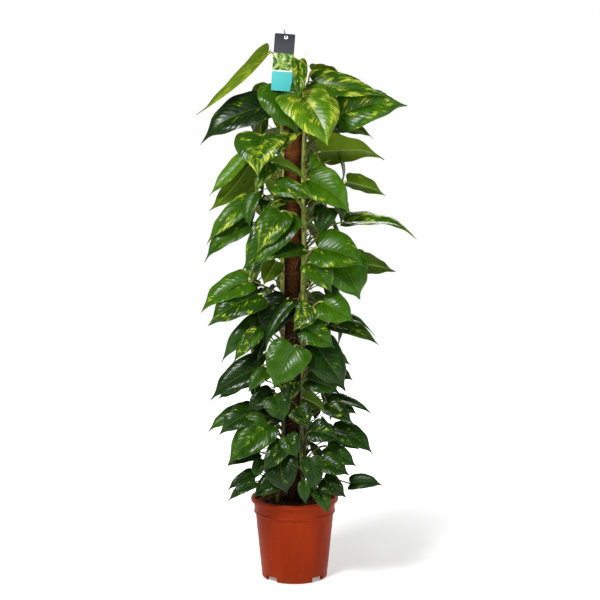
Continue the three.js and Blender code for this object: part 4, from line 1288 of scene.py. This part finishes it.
def add_card(card):
    """Front, back and edge of the card, from rings of points that grow from the hole to the edge."""
    low = np.array([CARD_MIDDLE - CARD_WIDTH / 2, CARD_ABOVE - CARD_HEIGHT])
    high = np.array([CARD_MIDDLE + CARD_WIDTH / 2, CARD_ABOVE])
    turn = np.linspace(0, 2 * math.pi, CARD_SIDES + 1)[:-1]
    direction = np.stack([np.cos(turn), np.sin(turn)], -1)
    edge = card_outline(direction, low, high)
    start = direction * (CARD_HOLE_RADIUS + CARD_HOLE_RING)
    rings = [direction * CARD_HOLE_RADIUS, start]
    for share in np.linspace(0.12, 1, 10):
        rings.append(start + (edge - start) * share)
    flat = np.concatenate(rings)
    across, height = ((flat - low) / (CARD_WIDTH, CARD_HEIGHT)).T
    faces = grid_faces(len(rings), CARD_SIDES, around=True)
    for y, ring_slot, slot, step in ((-CARD_THICK / 2, 1, 0, -1), (CARD_THICK / 2, 2, 2, 1)):
        quads = faces[:, ::step]
        first = card.count
        points = np.insert(flat, 1, y, axis=1)
        card.add(points, quads[:CARD_SIDES], ring_slot, height=height, across=across)
        card.join(quads[CARD_SIDES:] + first, slot)
    for row, step in ((0, 1), (len(rings) - 1, -1)):
        i = np.arange(CARD_SIDES) + row * CARD_SIDES
        j = (np.arange(CARD_SIDES) + 1) % CARD_SIDES + row * CARD_SIDES
        card.join(np.stack([i, j, j + len(flat), i + len(flat)], 1)[:, ::step], 2)


# Stage, lights and camera, in metres
CAMERA_PLACE = (0.015, -3.9, 1.197)
CAMERA_TILT = 6.3
CAMERA_LENS = 86.7
LIGHT_AIM = (0, 0, 0.75)
LIGHTS = {
    "key": {"place": (-1.5, -2.6, 3.3), "size": 1.2, "power": 165},
    "fill": {"place": (2.4, -2.6, 1.8), "size": 1.6, "power": 18},
    "back": {"place": (0.8, 2.6, 2.8), "size": 1.6, "power": 45},
}
FLOOR_SIDES = 96
FLOOR_RADIUS = 4.0
ROOM_FADE = (0.1, 0.28)
ROOM_TOP = 0.2
WHITE = (1, 1, 1, 1)


def make_floor():
    """A round pale floor that glows, which is painted light: dimmer near the object and brighter away from
    it.
    """
    mesh = bpy.data.meshes.new("floor")
    mesh.from_pydata(polar(FLOOR_RADIUS, turns(FLOOR_SIDES), 0).tolist(), [], [list(range(FLOOR_SIDES))])
    floor = linked("floor", mesh)
    shader = Shader("floor_glow", roughness=0.8)
    away = shader.value("VectorMath", shader.place(), output="Value", operation="LENGTH")
    # Painted light: the floor's glow, weaker near the object
    shader.put(shader.surface["Emission Strength"], shader.span(away, 0.3, 2.0, 0.26, 1.0))
    shader.surface["Emission Color"].default_value = WHITE
    mesh.materials.append(shader.finish(srgb(250, 250, 250)))


def make_room():
    """A white room that is dimmer overhead."""
    world = bpy.data.worlds.new("studio")
    world.use_nodes = True
    tree = world.node_tree
    backdrop = tree.nodes["Background"].inputs
    backdrop["Color"].default_value = WHITE
    parts = tree.nodes.new("ShaderNodeSeparateXYZ")
    fade = tree.nodes.new("ShaderNodeMapRange")
    fade.interpolation_type = "SMOOTHSTEP"
    for socket, value in zip(list(fade.inputs)[1:], (*ROOM_FADE, 1.0, ROOM_TOP)):
        socket.default_value = value
    tree.links.new(tree.nodes.new("ShaderNodeTexCoord").outputs["Generated"], parts.inputs[0])
    tree.links.new(parts.outputs[2], fade.inputs[0])
    tree.links.new(fade.outputs[0], backdrop["Strength"])
    bpy.context.scene.world = world
    bpy.context.scene.view_settings.view_transform = "Standard"


def make_lights():
    for name, plan in LIGHTS.items():
        data = bpy.data.lights.new(name, "AREA")
        data.shape = "DISK"
        data.size = plan["size"]
        data.energy = plan["power"]
        lamp = linked(name, data)
        lamp.location = plan["place"]
        aim = Vector(LIGHT_AIM) - Vector(plan["place"])
        lamp.rotation_euler = aim.to_track_quat("-Z", "Y").to_euler()


def make_camera():
    data = bpy.data.cameras.new("camera")
    data.lens = CAMERA_LENS
    camera = linked("camera", data)
    camera.location = CAMERA_PLACE
    camera.rotation_euler = (math.radians(90 - CAMERA_TILT), 0, 0)
    bpy.context.scene.camera = camera


make_vines()
make_pot()
make_soil()
make_pole()
make_stake()
make_label()
make_floor()
make_room()
make_lights()
make_camera()
